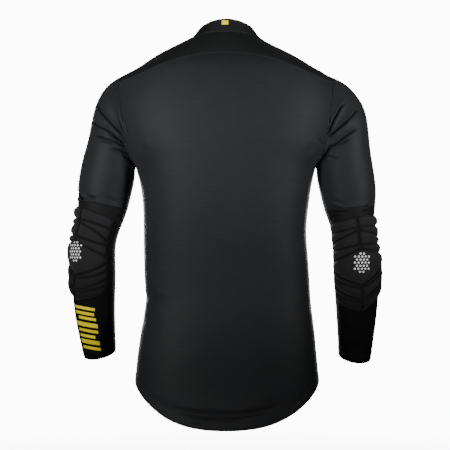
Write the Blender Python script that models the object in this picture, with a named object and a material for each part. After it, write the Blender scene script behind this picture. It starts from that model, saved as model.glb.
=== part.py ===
"""Padded compression shirt: long sleeves, low stand collar, curved tail and quilted elbows.

Metres, +Z up. The front faces -Y and the wearer's left arm is on the +X side. The origin is at
the base of the neck, level with the collar's seam, where the wearer holds the shirt up.
The shirt is worn, with nobody in it: every piece is a thin wall round an open hollow.
Sizes in the tables are millimetres, and MM turns them into metres.
"""

import math
from typing import NamedTuple

import bmesh
import bpy
import numpy as np

MM = 0.001

# Walls and seams
CLOTH = 1.5 * MM
COLLAR_CLOTH = 2.0 * MM
SEAM_GAP = 0.3 * MM
PAD_SEAT = 0.9 * MM
PAD_EDGE = 1.2 * MM
PAD_BASE = 1.9 * MM
CHANNEL_PUFF = 5.0 * MM
CAP_PUFF = 6.0 * MM

# How finely each piece is divided
ARMHOLE_STEPS = 24
YOKE_CORNER_STEPS = 2
PANEL_COLUMNS = 16
YOKE_ROWS = 6
COLLAR_ROWS = 3

# The armhole bulges into the back and front panels by these turns round the body
BACK_BULGE = math.radians(24)
FRONT_BULGE = math.radians(25)
# The yoke's front seam meets the neck this far forward of the side of the neck
FRONT_SEAM_AT_NECK = math.radians(35)
# The yoke's back seam hangs by this share of a body row on each shoulder blade
YOKE_SEAM_DIP = 0.22


class Section(NamedTuple):
    """One loop of the body: the reach and height of its sides, its centre back and centre front."""

    left: float
    right: float
    side_z: float
    back: float
    back_z: float
    front: float
    front_z: float
    square: float
    rise: float


# From the hem to the neck. Between the armpit and the shoulder tip, the sides lie in the armhole.
BODY = {
    "hem": Section(173, 177, -659, 104, -742, 103, -700, 2.5, 1.6),
    "tail": Section(171, 175, -632, 106, -698, 103, -664, 2.5, 1.7),
    "seat": Section(167, 171, -597, 106, -640, 102, -617, 2.5, 1.9),
    "hip": Section(161, 168, -562, 101, -584, 100, -572, 2.5, 2.0),
    "low waist": Section(155, 163, -528, 94, -535, 98, -532, 2.5, 2.0),
    "waist": Section(151, 160.5, -501, 90, -501, 97, -501, 2.5, 2.0),
    "high waist": Section(155, 159, -470, 90, -468, 99, -470, 2.5, 2.0),
    "ribs": Section(155.5, 156.5, -425, 95, -420, 104, -424, 2.5, 2.0),
    "low chest": Section(157, 151, -375, 102, -368, 111, -373, 2.5, 2.0),
    "chest": Section(157.5, 157.5, -325, 108, -316, 117, -321, 2.5, 2.0),
    "under arm": Section(163, 163, -283, 111, -274, 119, -280, 2.5, 2.0),
    "armpit": Section(172, 170.5, -251, 112, -240, 118, -246, 2.5, 2.0),
    "low blade": Section(186, 185, -237, 112.5, -210, 117, -224, 2.5, 2.0),
    "blade": Section(198, 197, -215, 112, -180, 115.5, -202, 2.5, 2.0),
    "high blade": Section(206, 205, -190, 110, -150, 113, -180, 2.5, 2.0),
    "upper back": Section(210, 209, -163, 106, -120, 109.5, -158, 2.45, 2.0),
    "high back": Section(211, 210, -136, 99, -88, 105, -137, 2.4, 2.1),
    "nape base": Section(209, 208, -109, 90, -58, 100, -117, 2.3, 2.4),
    "shoulder tip": Section(203, 202, -82, 79, -33, 94, -99, 2.2, 2.8),
    "outer shoulder": Section(184, 184, -74, 75, -26, 90, -89, 2.1, 3.0),
    "shoulder": Section(163, 163, -62, 71, -20, 86, -80, 2.0, 3.0),
    "mid shoulder": Section(140, 137, -45, 68, -15, 82, -71, 2.0, 3.0),
    "inner shoulder": Section(115, 109, -31, 64.5, -10, 78, -62, 2.0, 3.0),
    "neck slope": Section(87, 80, -18, 61.5, -6, 73, -53, 2.0, 3.0),
    "neck": Section(64, 64, -7, 58, -2, 66, -42, 2.0, 2.5),
}
COLLAR_RIM = Section(50, 51.5, 10, 50, 23, 60, -17, 2.0, 2.0)

ROW_OF = {name: row for row, name in enumerate(BODY)}
ARMPIT = ROW_OF["armpit"]
SHOULDER_TIP = ROW_OF["shoulder tip"]
NECK = ROW_OF["neck"]


class Ring(NamedTuple):
    """One ring of a sleeve, seen from behind: its outer and inner ends, and its depth."""

    outer_reach: float
    outer_z: float
    inner_reach: float
    inner_z: float
    centre_y: float
    half_depth: float


LEFT_RINGS = (
    Ring(203.3, -83.6, 171.8, -251.8, -1, 54),
    Ring(223.3, -96.0, 172.0, -256.5, -1, 55),
    Ring(240.4, -117.8, 172.1, -262.2, 0, 56),
    Ring(250.8, -143.5, 172.5, -269.8, 1, 57),
    Ring(256.5, -171.0, 173.3, -277.4, 1, 57),
    Ring(261.0, -199.5, 174.8, -286.9, 2, 56),
    Ring(270.4, -228.0, 176.9, -298.3, 3, 54.5),
    Ring(277.0, -258.4, 179.3, -309.0, 4, 53),
    Ring(282.0, -290.7, 182.1, -321.0, 5, 51.5),
    Ring(281.6, -317.0, 185.6, -334.0, 6, 50),
    Ring(281.0, -338.2, 192.4, -353.0, 7, 49),
    Ring(283.5, -361.0, 200.0, -370.5, 7, 48),
    Ring(290.0, -389.5, 207.5, -391.4, 7, 47),
    Ring(292.0, -419.9, 210.0, -419.9, 4, 46),
    Ring(293.2, -456.0, 208.8, -454.1, -3, 46),
    Ring(292.9, -495.0, 210.5, -489.0, -13, 45),
    Ring(290.0, -534.0, 212.5, -526.0, -24, 42.5),
    Ring(283.5, -573.0, 212.5, -565.0, -36, 37.5),
    Ring(274.0, -615.5, 212.5, -604.0, -49, 31.5),
)
RIGHT_RINGS = (
    Ring(202.4, -82.7, 170.6, -249.9, -1, 54),
    Ring(223.3, -92.2, 171.0, -255.6, -1, 55),
    Ring(242.3, -109.3, 171.4, -261.3, 0, 56),
    Ring(257.8, -130.2, 172.0, -268.9, 1, 57),
    Ring(267.4, -154.9, 172.9, -277.4, 1, 57),
    Ring(271.5, -184.3, 174.4, -286.9, 2, 56),
    Ring(273.6, -216.6, 176.7, -298.3, 3, 54.5),
    Ring(280.2, -254.0, 179.0, -309.0, 4, 53),
    Ring(286.0, -296.0, 181.9, -321.0, 5, 51.5),
    Ring(283.8, -328.0, 186.1, -336.0, 6, 50),
    Ring(281.0, -346.0, 192.6, -354.0, 7, 49),
    Ring(281.2, -364.8, 198.6, -370.5, 7, 48),
    Ring(284.4, -391.4, 200.9, -391.4, 6, 47),
    Ring(288.9, -419.9, 203.3, -419.9, 3, 46),
    Ring(292.4, -452.2, 204.8, -452.2, -6, 46),
    Ring(292.4, -493.0, 207.3, -491.0, -19, 45),
    Ring(290.5, -535.0, 211.0, -528.0, -34, 42.5),
    Ring(286.5, -574.0, 215.0, -568.0, -50, 38),
    Ring(281.0, -621.0, 218.5, -613.5, -68, 32),
)
# The seam above the elbow lies on this ring, and the cuff on the last
SLEEVE_SEAM = 9
CUFF = len(LEFT_RINGS) - 1
# Where the two parts of a sleeve are divided, in rings from the armhole
UPPER_SPOTS = (0, 0.75, 1.5, 2.25, 2.9, 3.55, 4.3, 5.2, 6.2, 7.2, 8.1, 8.6, SLEEVE_SEAM)
LOWER_SPOTS = (SLEEVE_SEAM, 9.5, 10.2, 11, 12, 13, 14, 15, 16, 17, 17.6, CUFF)
# The sleeve takes the armhole's own outline at its head, and has lost it by this ring
ARMHOLE_FADE = 3.5


class Fold(NamedTuple):
    """A soft trough round part of a sleeve, in rings from the armhole and degrees of its clock."""

    spot: float
    spread: float
    clock: float
    reach: float
    depth: float


# The sleeve is dragged into these by the armpit, behind and in front, and slumps on the elbow seam
SLEEVE_FOLDS = (
    Fold(2.25, 0.42, 78, 55, 3.2),
    Fold(3.55, 0.42, 84, 50, 2.6),
    Fold(2.25, 0.42, 285, 50, 2.6),
    Fold(3.55, 0.42, 280, 45, 2.2),
    Fold(8.6, 0.35, 55, 70, 2.4),
)


class Sleeve(NamedTuple):
    """A sleeve: its side of the body, its rings, and where its elbow pad points and is raised to."""

    name: str
    side: int
    rings: tuple
    pad_clock: float
    pad_rise: float


SLEEVES = (
    Sleeve("left", 1, LEFT_RINGS, math.radians(45), 0.42),
    Sleeve("right", -1, RIGHT_RINGS, math.radians(82), 0.0),
)


class Stitch(NamedTuple):
    """A sewn line across the elbow pad, in rings from the armhole at its middle and its edge."""

    middle: float
    edge: float


# Lens-shaped channels arch over the elbow cap, and others hang below it, in pairs of a flat line
# and a steep one that meet in the middle
PAD_STITCHES = (
    Stitch(9.92, 10.30),
    Stitch(10.95, 11.22),
    Stitch(11.16, 12.20),
    Stitch(12.18, 12.44),
    Stitch(12.40, 13.14),
    Stitch(14.22, 13.38),
    Stitch(14.34, 13.80),
    Stitch(14.86, 14.17),
    Stitch(14.97, 14.51),
    Stitch(15.45, 14.92),
)
CAP_CHANNEL = 4
PAD_HALF_ANGLE = math.radians(84)
PAD_BEND = 1.18
# The pad's inner edge lies lower than its middle by this, in rings, and its outer edge higher
PAD_TILT = 0.26
# A channel narrower than this, in rings, is puffed less
FULL_CHANNEL = 0.45


class PadEnd(NamedTuple):
    """A rounded end of the pad: its share of the pad's length, and the width left at the end."""

    reach: float
    width: float


PAD_HEAD = PadEnd(0.10, 0.82)
PAD_TAIL = PadEnd(0.30, 0.50)
PAD_COLUMNS = (-1, -0.92, -0.78, -0.62, -0.45, -0.28, -0.1, 0, 0.1, 0.28, 0.45, 0.62, 0.78, 0.92, 1)
CHANNEL_ROWS = (0.0, 0.25, 0.75)
CAP_ROWS = (0.0, 0.12, 0.37, 0.63, 0.88)

# Colours are linear: red, green, blue
MATERIALS = {
    "body_knit": ((0.022, 0.023, 0.024), 0.55),
    "yoke_knit": ((0.014, 0.015, 0.016), 0.60),
    "forearm_knit": ((0.008, 0.008, 0.009), 0.60),
    "pad_knit": ((0.016, 0.016, 0.017), 0.75),
}


# Curves through the tables

def smooth_value(values, place):
    """The value at a fractional place in a column, on a Catmull-Rom curve through its rows."""
    last = len(values) - 1
    row = min(int(math.floor(place)), last - 1)
    t = place - row
    before = values[row - 1] if row > 0 else 2 * values[0] - values[1]
    after = values[row + 2] if row + 2 <= last else 2 * values[last] - values[last - 1]
    low, high = values[row], values[row + 1]
    slope_low, slope_high = (high - before) / 2, (after - low) / 2
    return (
        (2 * t**3 - 3 * t**2 + 1) * low
        + (t**3 - 2 * t**2 + t) * slope_low
        + (3 * t**2 - 2 * t**3) * high
        + (t**3 - t**2) * slope_high
    )


def row_at(rows, place):
    """A whole table row at a fractional place."""
    return type(rows[0])(*(smooth_value(column, place) for column in zip(*rows)))


def signed_power(value, power):
    return math.copysign(abs(value) ** power, value)


def unit(vector):
    return vector / np.linalg.norm(vector)


# The body

def loop_point(section, turn):
    """A point on a body loop. The turn is 0 at the left side and a quarter turn at the back."""
    across, along = math.cos(turn), math.sin(turn)
    power = 2 / section.square
    reach = section.left if across > 0 else section.right
    depth, end_z = (
        (section.back, section.back_z) if along > 0 else (section.front, section.front_z)
    )
    height = section.side_z + (end_z - section.side_z) * abs(along) ** section.rise
    point = (reach * signed_power(across, power), depth * signed_power(along, power), height)
    return np.array(point) * MM


BODY_ROWS = tuple(BODY.values())


def body_point(turn, level):
    return loop_point(row_at(BODY_ROWS, level), turn)


def body_normal(turn, level):
    """The outward normal of the body, by small differences."""
    step = 0.01
    low, high = max(level - step, 0), min(level + step, NECK)
    round_it = body_point(turn + step, level) - body_point(turn - step, level)
    up_it = body_point(turn, high) - body_point(turn, low)
    return unit(np.cross(round_it, up_it))


def collar_point(turn, up):
    """A point on the collar, from the neck seam at 0 to the rim at 1."""
    return (1 - up) * body_point(turn, NECK) + up * loop_point(COLLAR_RIM, turn)


def collar_normal(turn, up):
    step = 0.01
    round_it = collar_point(turn + step, up) - collar_point(turn - step, up)
    return unit(np.cross(round_it, collar_point(turn, 1) - collar_point(turn, 0)))


def neck_normal(turn):
    """The normal that the collar and the panels share at the neck seam."""
    return unit(body_normal(turn, NECK) + collar_normal(turn, 0))


# The armhole

def armhole_place(clock):
    """(turn, level) of a point of the left armhole. The clock is 0 on top and 90 at the back."""
    middle, half = (SHOULDER_TIP + ARMPIT) / 2, (SHOULDER_TIP - ARMPIT) / 2
    bulge = BACK_BULGE if math.sin(clock) > 0 else FRONT_BULGE
    return bulge * math.sin(clock), middle + half * math.cos(clock)


def armhole_point(side, clock):
    turn, level = armhole_place(clock)
    return body_point(turn if side > 0 else math.pi - turn, level)


# The sleeves

def plain_ring_point(sleeve, clock, spot):
    """A point on an oval ring, with the ring square to the arm where it leans forward."""
    ring = row_at(sleeve.rings, spot)
    low = row_at(sleeve.rings, max(spot - 0.5, 0))
    high = row_at(sleeve.rings, min(spot + 0.5, CUFF))
    outer = np.array((sleeve.side * ring.outer_reach, ring.centre_y, ring.outer_z))
    inner = np.array((sleeve.side * ring.inner_reach, ring.centre_y, ring.inner_z))
    fall = (low.outer_z + low.inner_z - high.outer_z - high.inner_z) / 2
    lean = math.atan2(low.centre_y - high.centre_y, fall)
    backward = np.array((0, math.cos(lean), -math.sin(lean)))
    point = (
        (outer + inner) / 2
        + math.cos(clock) * (outer - inner) / 2
        + math.sin(clock) * ring.half_depth * backward
    )
    return point * MM


def fold_depth(clock, spot):
    """How far the sleeve's cloth is drawn in by its folds."""
    depth = 0
    for fold in SLEEVE_FOLDS:
        away = (math.degrees(clock) - fold.clock + 180) % 360 - 180
        if abs(away) < fold.reach:
            ends = math.cos(math.radians(90 * away / fold.reach)) ** 0.7
            depth += fold.depth * ends * math.exp(-(((spot - fold.spot) / fold.spread) ** 2))
    return depth * MM


def sleeve_point(sleeve, clock, spot):
    """A point on a sleeve, whose head has the armhole's outline."""
    point = plain_ring_point(sleeve, clock, spot)
    if spot < ARMHOLE_FADE:
        left = 1 - spot / ARMHOLE_FADE
        share = left * left * (3 - 2 * left)
        head = armhole_point(sleeve.side, clock) - plain_ring_point(sleeve, clock, 0)
        point = point + share * head
    return point


def sleeve_normal(sleeve, clock, spot):
    step = 0.02
    low, high = max(spot - step, 0), min(spot + step, CUFF)
    round_it = sleeve_point(sleeve, clock + step, spot) - sleeve_point(sleeve, clock - step, spot)
    down_it = sleeve_point(sleeve, clock, high) - sleeve_point(sleeve, clock, low)
    return unit(np.cross(down_it, round_it)) * sleeve.side


def armhole_normal(sleeve, clock):
    """The normal that the sleeve and the panels share at the armhole seam."""
    turn, level = armhole_place(clock)
    if sleeve.side < 0:
        turn = math.pi - turn
    return unit(body_normal(turn, level) + sleeve_normal(sleeve, clock, 0.1))


# Walls of cloth

def wall_mesh(name, outer, inner, ring):
    """A closed wall between two grids of points. A ring joins its last column to its first."""
    rows, columns = outer.shape[:2]
    count = rows * columns
    spans = columns if ring else columns - 1

    def corner(row, column, layer):
        return layer * count + row * columns + column % columns

    faces = []
    for row in range(rows - 1):
        for column in range(spans):
            for layer in (0, 1):
                face = [
                    corner(row, column, layer),
                    corner(row, column + 1, layer),
                    corner(row + 1, column + 1, layer),
                    corner(row + 1, column, layer),
                ]
                faces.append(face[::-1] if layer else face)
    rims = [[(row, column) for column in range(spans + 1)] for row in (0, rows - 1)]
    if not ring:
        rims += [[(row, column) for row in range(rows)] for column in (0, columns - 1)]
    for rim in rims:
        for (row, column), (next_row, next_column) in zip(rim, rim[1:]):
            faces.append(
                (
                    corner(row, column, 0),
                    corner(next_row, next_column, 0),
                    corner(next_row, next_column, 1),
                    corner(row, column, 1),
                )
            )
    mesh = bpy.data.meshes.new(name)
    points = np.concatenate((outer.reshape(-1, 3), inner.reshape(-1, 3)))
    mesh.from_pydata(points.tolist(), [], faces)
    cage = bmesh.new()
    cage.from_mesh(mesh)
    bmesh.ops.recalc_face_normals(cage, faces=cage.faces)
    cage.to_mesh(mesh)
    cage.free()
    return mesh


def drawn_in(points, first_row=False, last_row=False, columns=False):
    """The grid with its chosen edges drawn in by half a seam gap."""
    points = points.copy()
    edges = []
    if first_row:
        edges.append((points[0], points[1]))
    if last_row:
        edges.append((points[-1], points[-2]))
    if columns:
        edges += [(points[:, 0], points[:, 1]), (points[:, -1], points[:, -2])]
    for edge, neighbour in edges:
        way = neighbour - edge
        edge += way / np.linalg.norm(way, axis=-1, keepdims=True) * SEAM_GAP / 2
    return points


def add_piece(name, mesh, material_name):
    """Puts a finished mesh in the shirt's collection, with its material."""
    piece = bpy.data.objects.new(name, mesh)
    SHIRT.objects.link(piece)
    mesh.materials.append(bpy.data.materials[material_name])
    mesh.shade_smooth()
    mesh.set_sharp_from_angle(angle=math.radians(50))
    return piece


def clock_steps(first, last):
    """Armhole clocks from one step of the armhole to another."""
    way = 1 if last >= first else -1
    return [2 * math.pi * step / ARMHOLE_STEPS for step in range(first, last + way, way)]


# The panels of the body

class PanelRow(NamedTuple):
    """A row of a panel: where its ends and its middle lie, and its ends' armhole clock."""

    edge_turn: float
    edge_level: float
    middle_level: float
    clock: float | None


def panel_rows(facing):
    """Rows of a panel from the hem up its armholes, as far as the yoke's corners."""
    rows = [PanelRow(0.0, level, level, None) for level in range(ARMPIT)]
    clocks = clock_steps(ARMHOLE_STEPS // 2, YOKE_CORNER_STEPS)
    top = armhole_place(clocks[-1])[1]
    for clock, middle in zip(clocks, np.linspace(ARMPIT, top, len(clocks))):
        turn, level = armhole_place(clock * facing)
        rows.append(PanelRow(turn * facing, level, middle, clock * facing))
    return rows


def seam_dip(turn):
    """How far the yoke's back seam hangs below a level line, as a share of a body row."""
    corner = armhole_place(2 * math.pi * YOKE_CORNER_STEPS / ARMHOLE_STEPS)[0]
    past = max(min(turn, math.pi - turn) - corner, 0) / (math.pi / 2 - corner)
    return YOKE_SEAM_DIP * math.sin(math.pi * past**0.75) ** 4


def panel_grid(rows, facing):
    """Points and normals of a panel that faces back (1) or front (-1)."""
    shares = np.linspace(0, 1, PANEL_COLUMNS + 1)
    points, normals = [], []
    for row in rows:
        on_yoke_seam = facing > 0 and row is rows[-1]
        places = []
        for share in shares:
            turn = (row.edge_turn + (math.pi - 2 * row.edge_turn) * share) * facing
            level = row.edge_level + (row.middle_level - row.edge_level) * math.sin(math.pi * share)
            places.append((turn, level - seam_dip(turn) if on_yoke_seam else level))
        points.append([body_point(*place) for place in places])
        row_normals = [body_normal(*place) for place in places]
        if row.clock is not None:
            for column, sleeve in zip((0, -1), SLEEVES):
                row_normals[column] = armhole_normal(sleeve, row.clock)
        normals.append(row_normals)
    return np.array(points), np.array(normals)


def make_back():
    """The back panel, from the curved tail up to the yoke seam."""
    points, normals = panel_grid(panel_rows(1), facing=1)
    outer = drawn_in(points, last_row=True, columns=True)
    return add_piece("back", wall_mesh("back", outer, outer - normals * CLOTH, False), "body_knit")


def front_seam_rows(corner):
    """Rows of the front panel up the yoke's front seams, from their corners to the neck."""
    rows = []
    for share in np.linspace(0, 1, YOKE_ROWS + 1)[1:]:
        turn = (1 - share) * corner.edge_turn + share * FRONT_SEAM_AT_NECK
        level = (1 - share) * corner.edge_level + share * NECK
        rows.append(PanelRow(turn, level, level, None))
    return rows


def make_front():
    """The front panel, from the hem up to the yoke's front seams and the neck."""
    rows = panel_rows(-1)
    rows += front_seam_rows(rows[-1])
    points, normals = panel_grid(rows, facing=-1)
    edge = FRONT_SEAM_AT_NECK
    turns = -np.linspace(edge, math.pi - edge, PANEL_COLUMNS + 1)
    normals[-1] = [neck_normal(turn) for turn in turns]
    outer = drawn_in(points, last_row=True, columns=True)
    mesh = wall_mesh("front", outer, outer - normals * CLOTH, False)
    return add_piece("front", mesh, "body_knit")


def yoke_places():
    """(turn, level, clock) along the yoke's lower edge: armhole, back seam, armhole."""
    armhole = [armhole_place(c) + (c,) for c in clock_steps(-YOKE_CORNER_STEPS, YOKE_CORNER_STEPS)]
    edge, level, _ = armhole[-1]
    turns = np.linspace(edge, math.pi - edge, PANEL_COLUMNS + 1)[1:-1]
    seam = [(turn, level - seam_dip(turn), None) for turn in turns]
    far = [(math.pi - turn, height, clock) for turn, height, clock in reversed(armhole)]
    return armhole + seam + far


def yoke_neck_turns():
    """Turns of the yoke's columns where they meet the neck."""
    count = len(yoke_places())
    return np.linspace(-FRONT_SEAM_AT_NECK, math.pi + FRONT_SEAM_AT_NECK, count)


def make_yoke():
    """The yoke, over both shoulders and behind the neck."""
    places = yoke_places()
    neck_turns = yoke_neck_turns()
    points, normals = [], []
    for share in np.linspace(0, 1, YOKE_ROWS + 1):
        row, row_normals = [], []
        for (turn, level, clock), neck_turn in zip(places, neck_turns):
            here = ((1 - share) * turn + share * neck_turn, (1 - share) * level + share * NECK)
            row.append(body_point(*here))
            if share == 0 and clock is not None:
                sleeve = SLEEVES[0] if abs(turn) < math.pi / 2 else SLEEVES[1]
                row_normals.append(armhole_normal(sleeve, clock))
            elif share == 1:
                row_normals.append(neck_normal(neck_turn))
            else:
                row_normals.append(body_normal(*here))
        points.append(row)
        normals.append(row_normals)
    outer = drawn_in(np.array(points), first_row=True, last_row=True, columns=True)
    mesh = wall_mesh("yoke", outer, outer - np.array(normals) * CLOTH, False)
    return add_piece("yoke", mesh, "yoke_knit")


def make_collar():
    """The stand collar, a band round the neck that is highest behind."""
    edge = FRONT_SEAM_AT_NECK
    front = -np.linspace(edge, math.pi - edge, PANEL_COLUMNS + 1)[1:-1]
    turns = list(yoke_neck_turns()) + list(front[::-1])
    points, normals = [], []
    for up in np.linspace(0, 1, COLLAR_ROWS + 1):
        points.append([collar_point(turn, up) for turn in turns])
        normals.append([neck_normal(turn) if up == 0 else collar_normal(turn, up) for turn in turns])
    outer = drawn_in(np.array(points), first_row=True)
    mesh = wall_mesh("collar", outer, outer - np.array(normals) * COLLAR_CLOTH, True)
    return add_piece("collar", mesh, "yoke_knit")


# The sleeves and their pads

def make_sleeve_part(sleeve, name, spots, material_name):
    """One tube of a sleeve, through rings at the given spots."""
    clocks = clock_steps(0, ARMHOLE_STEPS - 1)
    points, normals = [], []
    for spot in spots:
        row, row_normals = [], []
        for clock in clocks:
            at_armhole = spot == 0
            normal = (
                armhole_normal(sleeve, clock) if at_armhole else sleeve_normal(sleeve, clock, spot)
            )
            depth = 0 if at_armhole else fold_depth(clock, spot)
            row.append(sleeve_point(sleeve, clock, spot) - normal * depth)
            row_normals.append(normal)
        points.append(row)
        normals.append(row_normals)
    outer = drawn_in(
        np.array(points), first_row=True, last_row=spots[-1] == SLEEVE_SEAM
    )
    mesh = wall_mesh(name, outer, outer - np.array(normals) * CLOTH, True)
    return add_piece(name, mesh, material_name)


def pad_width(down):
    """The pad's width at a share of its length, narrower at its rounded ends."""
    end = PAD_HEAD if down < 0.5 else PAD_TAIL
    inward = min(1, min(down, 1 - down) / end.reach)
    return end.width + (1 - end.width) * math.sqrt(1 - (1 - inward) ** 2)


def pad_height(across, channel, share, channel_height):
    """The pad's thickness at a share of the way down one of its channels."""
    is_cap = channel == CAP_CHANNEL
    puff = CAP_PUFF if is_cap else CHANNEL_PUFF
    crown = (4 * share * (1 - share)) ** 0.5 * min(1, channel_height / FULL_CHANNEL) ** 0.7
    if not is_cap:
        crown *= min(1, abs(across) / 0.08)
    to_edge = (1 - abs(across)) / 0.28
    crown *= min(1, to_edge) ** 0.7 if to_edge > 0 else 0
    base = PAD_EDGE + (PAD_BASE - PAD_EDGE) * min(1, to_edge)
    return base + puff * crown


def make_pad(sleeve):
    """The quilted elbow pad, which lies on the lower sleeve and is raised in padded channels."""
    inner, outer = [], []
    last = len(PAD_STITCHES) - 2
    head, tail = PAD_STITCHES[0].middle, PAD_STITCHES[-1].middle
    for channel, (high, low) in enumerate(zip(PAD_STITCHES, PAD_STITCHES[1:])):
        shares = CAP_ROWS if channel == CAP_CHANNEL else CHANNEL_ROWS
        if channel == last:
            shares = shares + (1.0,)
        for share in shares:
            inner_row, outer_row = [], []
            for across in PAD_COLUMNS:
                bend = abs(across) ** PAD_BEND
                top = high.middle + (high.edge - high.middle) * bend
                bottom = low.middle + (low.edge - low.middle) * bend
                place = top + (bottom - top) * share
                width = pad_width((place - head) / (tail - head))
                clock = sleeve.pad_clock - across * PAD_HALF_ANGLE * width
                spot = place - sleeve.pad_rise - PAD_TILT * across
                seat = sleeve_point(sleeve, clock, spot)
                normal = sleeve_normal(sleeve, clock, spot)
                at_end = (channel == 0 and share == 0) or (channel == last and share == 1)
                height = PAD_EDGE if at_end else pad_height(across, channel, share, bottom - top)
                inner_row.append(seat + normal * PAD_SEAT)
                outer_row.append(seat + normal * (PAD_SEAT + height))
            inner.append(inner_row)
            outer.append(outer_row)
    name = "elbow_pad_" + sleeve.name
    return add_piece(name, wall_mesh(name, np.array(outer), np.array(inner), False), "pad_knit")


# The shirt

for old in list(bpy.data.objects):
    bpy.data.objects.remove(old, do_unlink=True)

SHIRT = bpy.data.collections.new("padded compression shirt")
bpy.context.scene.collection.children.link(SHIRT)

for material_name, (colour, roughness) in MATERIALS.items():
    material = bpy.data.materials.new(material_name)
    material.use_nodes = True
    shader = material.node_tree.nodes["Principled BSDF"]
    shader.inputs["Base Color"].default_value = (*colour, 1)
    shader.inputs["Roughness"].default_value = roughness
    shader.inputs["Metallic"].default_value = 0

make_back()
make_front()
make_yoke()
make_collar()
for sleeve in SLEEVES:
    make_sleeve_part(sleeve, "sleeve_upper_" + sleeve.name, UPPER_SPOTS, "body_knit")
    make_sleeve_part(sleeve, "sleeve_lower_" + sleeve.name, LOWER_SPOTS, "forearm_knit")
    make_pad(sleeve)
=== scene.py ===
"""Looks of the padded compression shirt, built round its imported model.

Every panel of cloth is a thin shell on its solid's outer face, with the soft folds of a shirt
that is filled out as worn. The elbow pads are quilted, and the seams, hem and cuffs are sewn.
Lengths in the tables are millimetres; the scene is in metres, and MM turns one into the other.
The front faces -Y, so the photograph's view of the back looks along -Y.
"""

from __future__ import annotations

import logging
import math
from collections.abc import Iterable, Sequence
from dataclasses import dataclass, field, replace
from enum import Enum

import bmesh
import bpy
import numpy as np
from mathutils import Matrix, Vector
from mathutils.bvhtree import BVHTree
from mathutils.kdtree import KDTree


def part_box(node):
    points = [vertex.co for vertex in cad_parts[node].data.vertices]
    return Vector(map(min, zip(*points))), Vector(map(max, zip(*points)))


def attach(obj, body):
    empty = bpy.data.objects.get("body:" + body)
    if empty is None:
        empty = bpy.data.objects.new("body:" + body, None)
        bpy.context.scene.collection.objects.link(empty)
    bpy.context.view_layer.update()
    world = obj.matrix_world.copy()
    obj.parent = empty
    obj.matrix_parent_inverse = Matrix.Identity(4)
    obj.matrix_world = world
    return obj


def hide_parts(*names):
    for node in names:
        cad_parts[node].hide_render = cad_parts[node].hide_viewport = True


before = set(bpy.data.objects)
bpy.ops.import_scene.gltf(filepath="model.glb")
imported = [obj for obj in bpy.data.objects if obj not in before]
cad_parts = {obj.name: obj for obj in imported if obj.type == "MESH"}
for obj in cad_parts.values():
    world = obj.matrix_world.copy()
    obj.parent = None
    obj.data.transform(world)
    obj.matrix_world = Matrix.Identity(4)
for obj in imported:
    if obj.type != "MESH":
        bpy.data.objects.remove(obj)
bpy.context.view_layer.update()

MM = 0.001
ROOT = "root"
WELD = 0.02 * MM
# A fold narrower than this, in millimetres, is a crease that needs a finer mesh
CRISP_WIDTH = 3.2
# A crease is divided as far as it moves the cloth by this much, and its painted shade is darkest from
# this depth on
CREASE_EDGE = 0.06
CREASE_FULL = 3.0
# Only the edges across a wall's thickness are shorter than this
THIN_EDGE = 2.4 * MM
# The grain of the cloth, in metres, is kept in this UV map
GRAIN = "grain"
# How deep a point lies in a sewn line or a crease, from 0 to 1, is kept in this attribute, which paints
# shade into the colour there
PAINTED_SHADE_MASK = "painted_shade"

Pair = tuple[float, float]
Faces = list[tuple[int, ...]]
Socket = bpy.types.NodeSocket
Tree = bpy.types.NodeTree

log = logging.getLogger("shirt")


# Colours and shader nodes


def linear(hex_colour: str) -> tuple[float, float, float, float]:
    """Turns an sRGB hex colour to linear.

    Args:
        hex_colour: Six hex digits after a hash.

    Returns:
        Red, green, blue and an alpha of 1.
    """
    parts = (int(hex_colour[i : i + 2], 16) / 255 for i in (1, 3, 5))
    red, green, blue = (c / 12.92 if c <= 0.04045 else ((c + 0.055) / 1.055) ** 2.4 for c in parts)
    return red, green, blue, 1.0


def add_node(
    tree: Tree,
    kind: str,
    settings: dict[str, object] | None = None,
    values: dict[str | int, object] | None = None,
    links: dict[str | int, Socket] | None = None,
) -> bpy.types.Node:
    """Adds a shader node.

    Args:
        tree: The node tree that it goes in.
        kind: The node's type name.
        settings: Properties of the node itself.
        values: Input sockets that hold a fixed value.
        links: Input sockets that an output socket feeds.

    Returns:
        The new node.
    """
    node = tree.nodes.new(kind)
    for name, value in (settings or {}).items():
        setattr(node, name, value)
    for name, value in (values or {}).items():
        node.inputs[name].default_value = value
    for name, socket in (links or {}).items():
        tree.links.new(socket, node.inputs[name])
    return node


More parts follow.
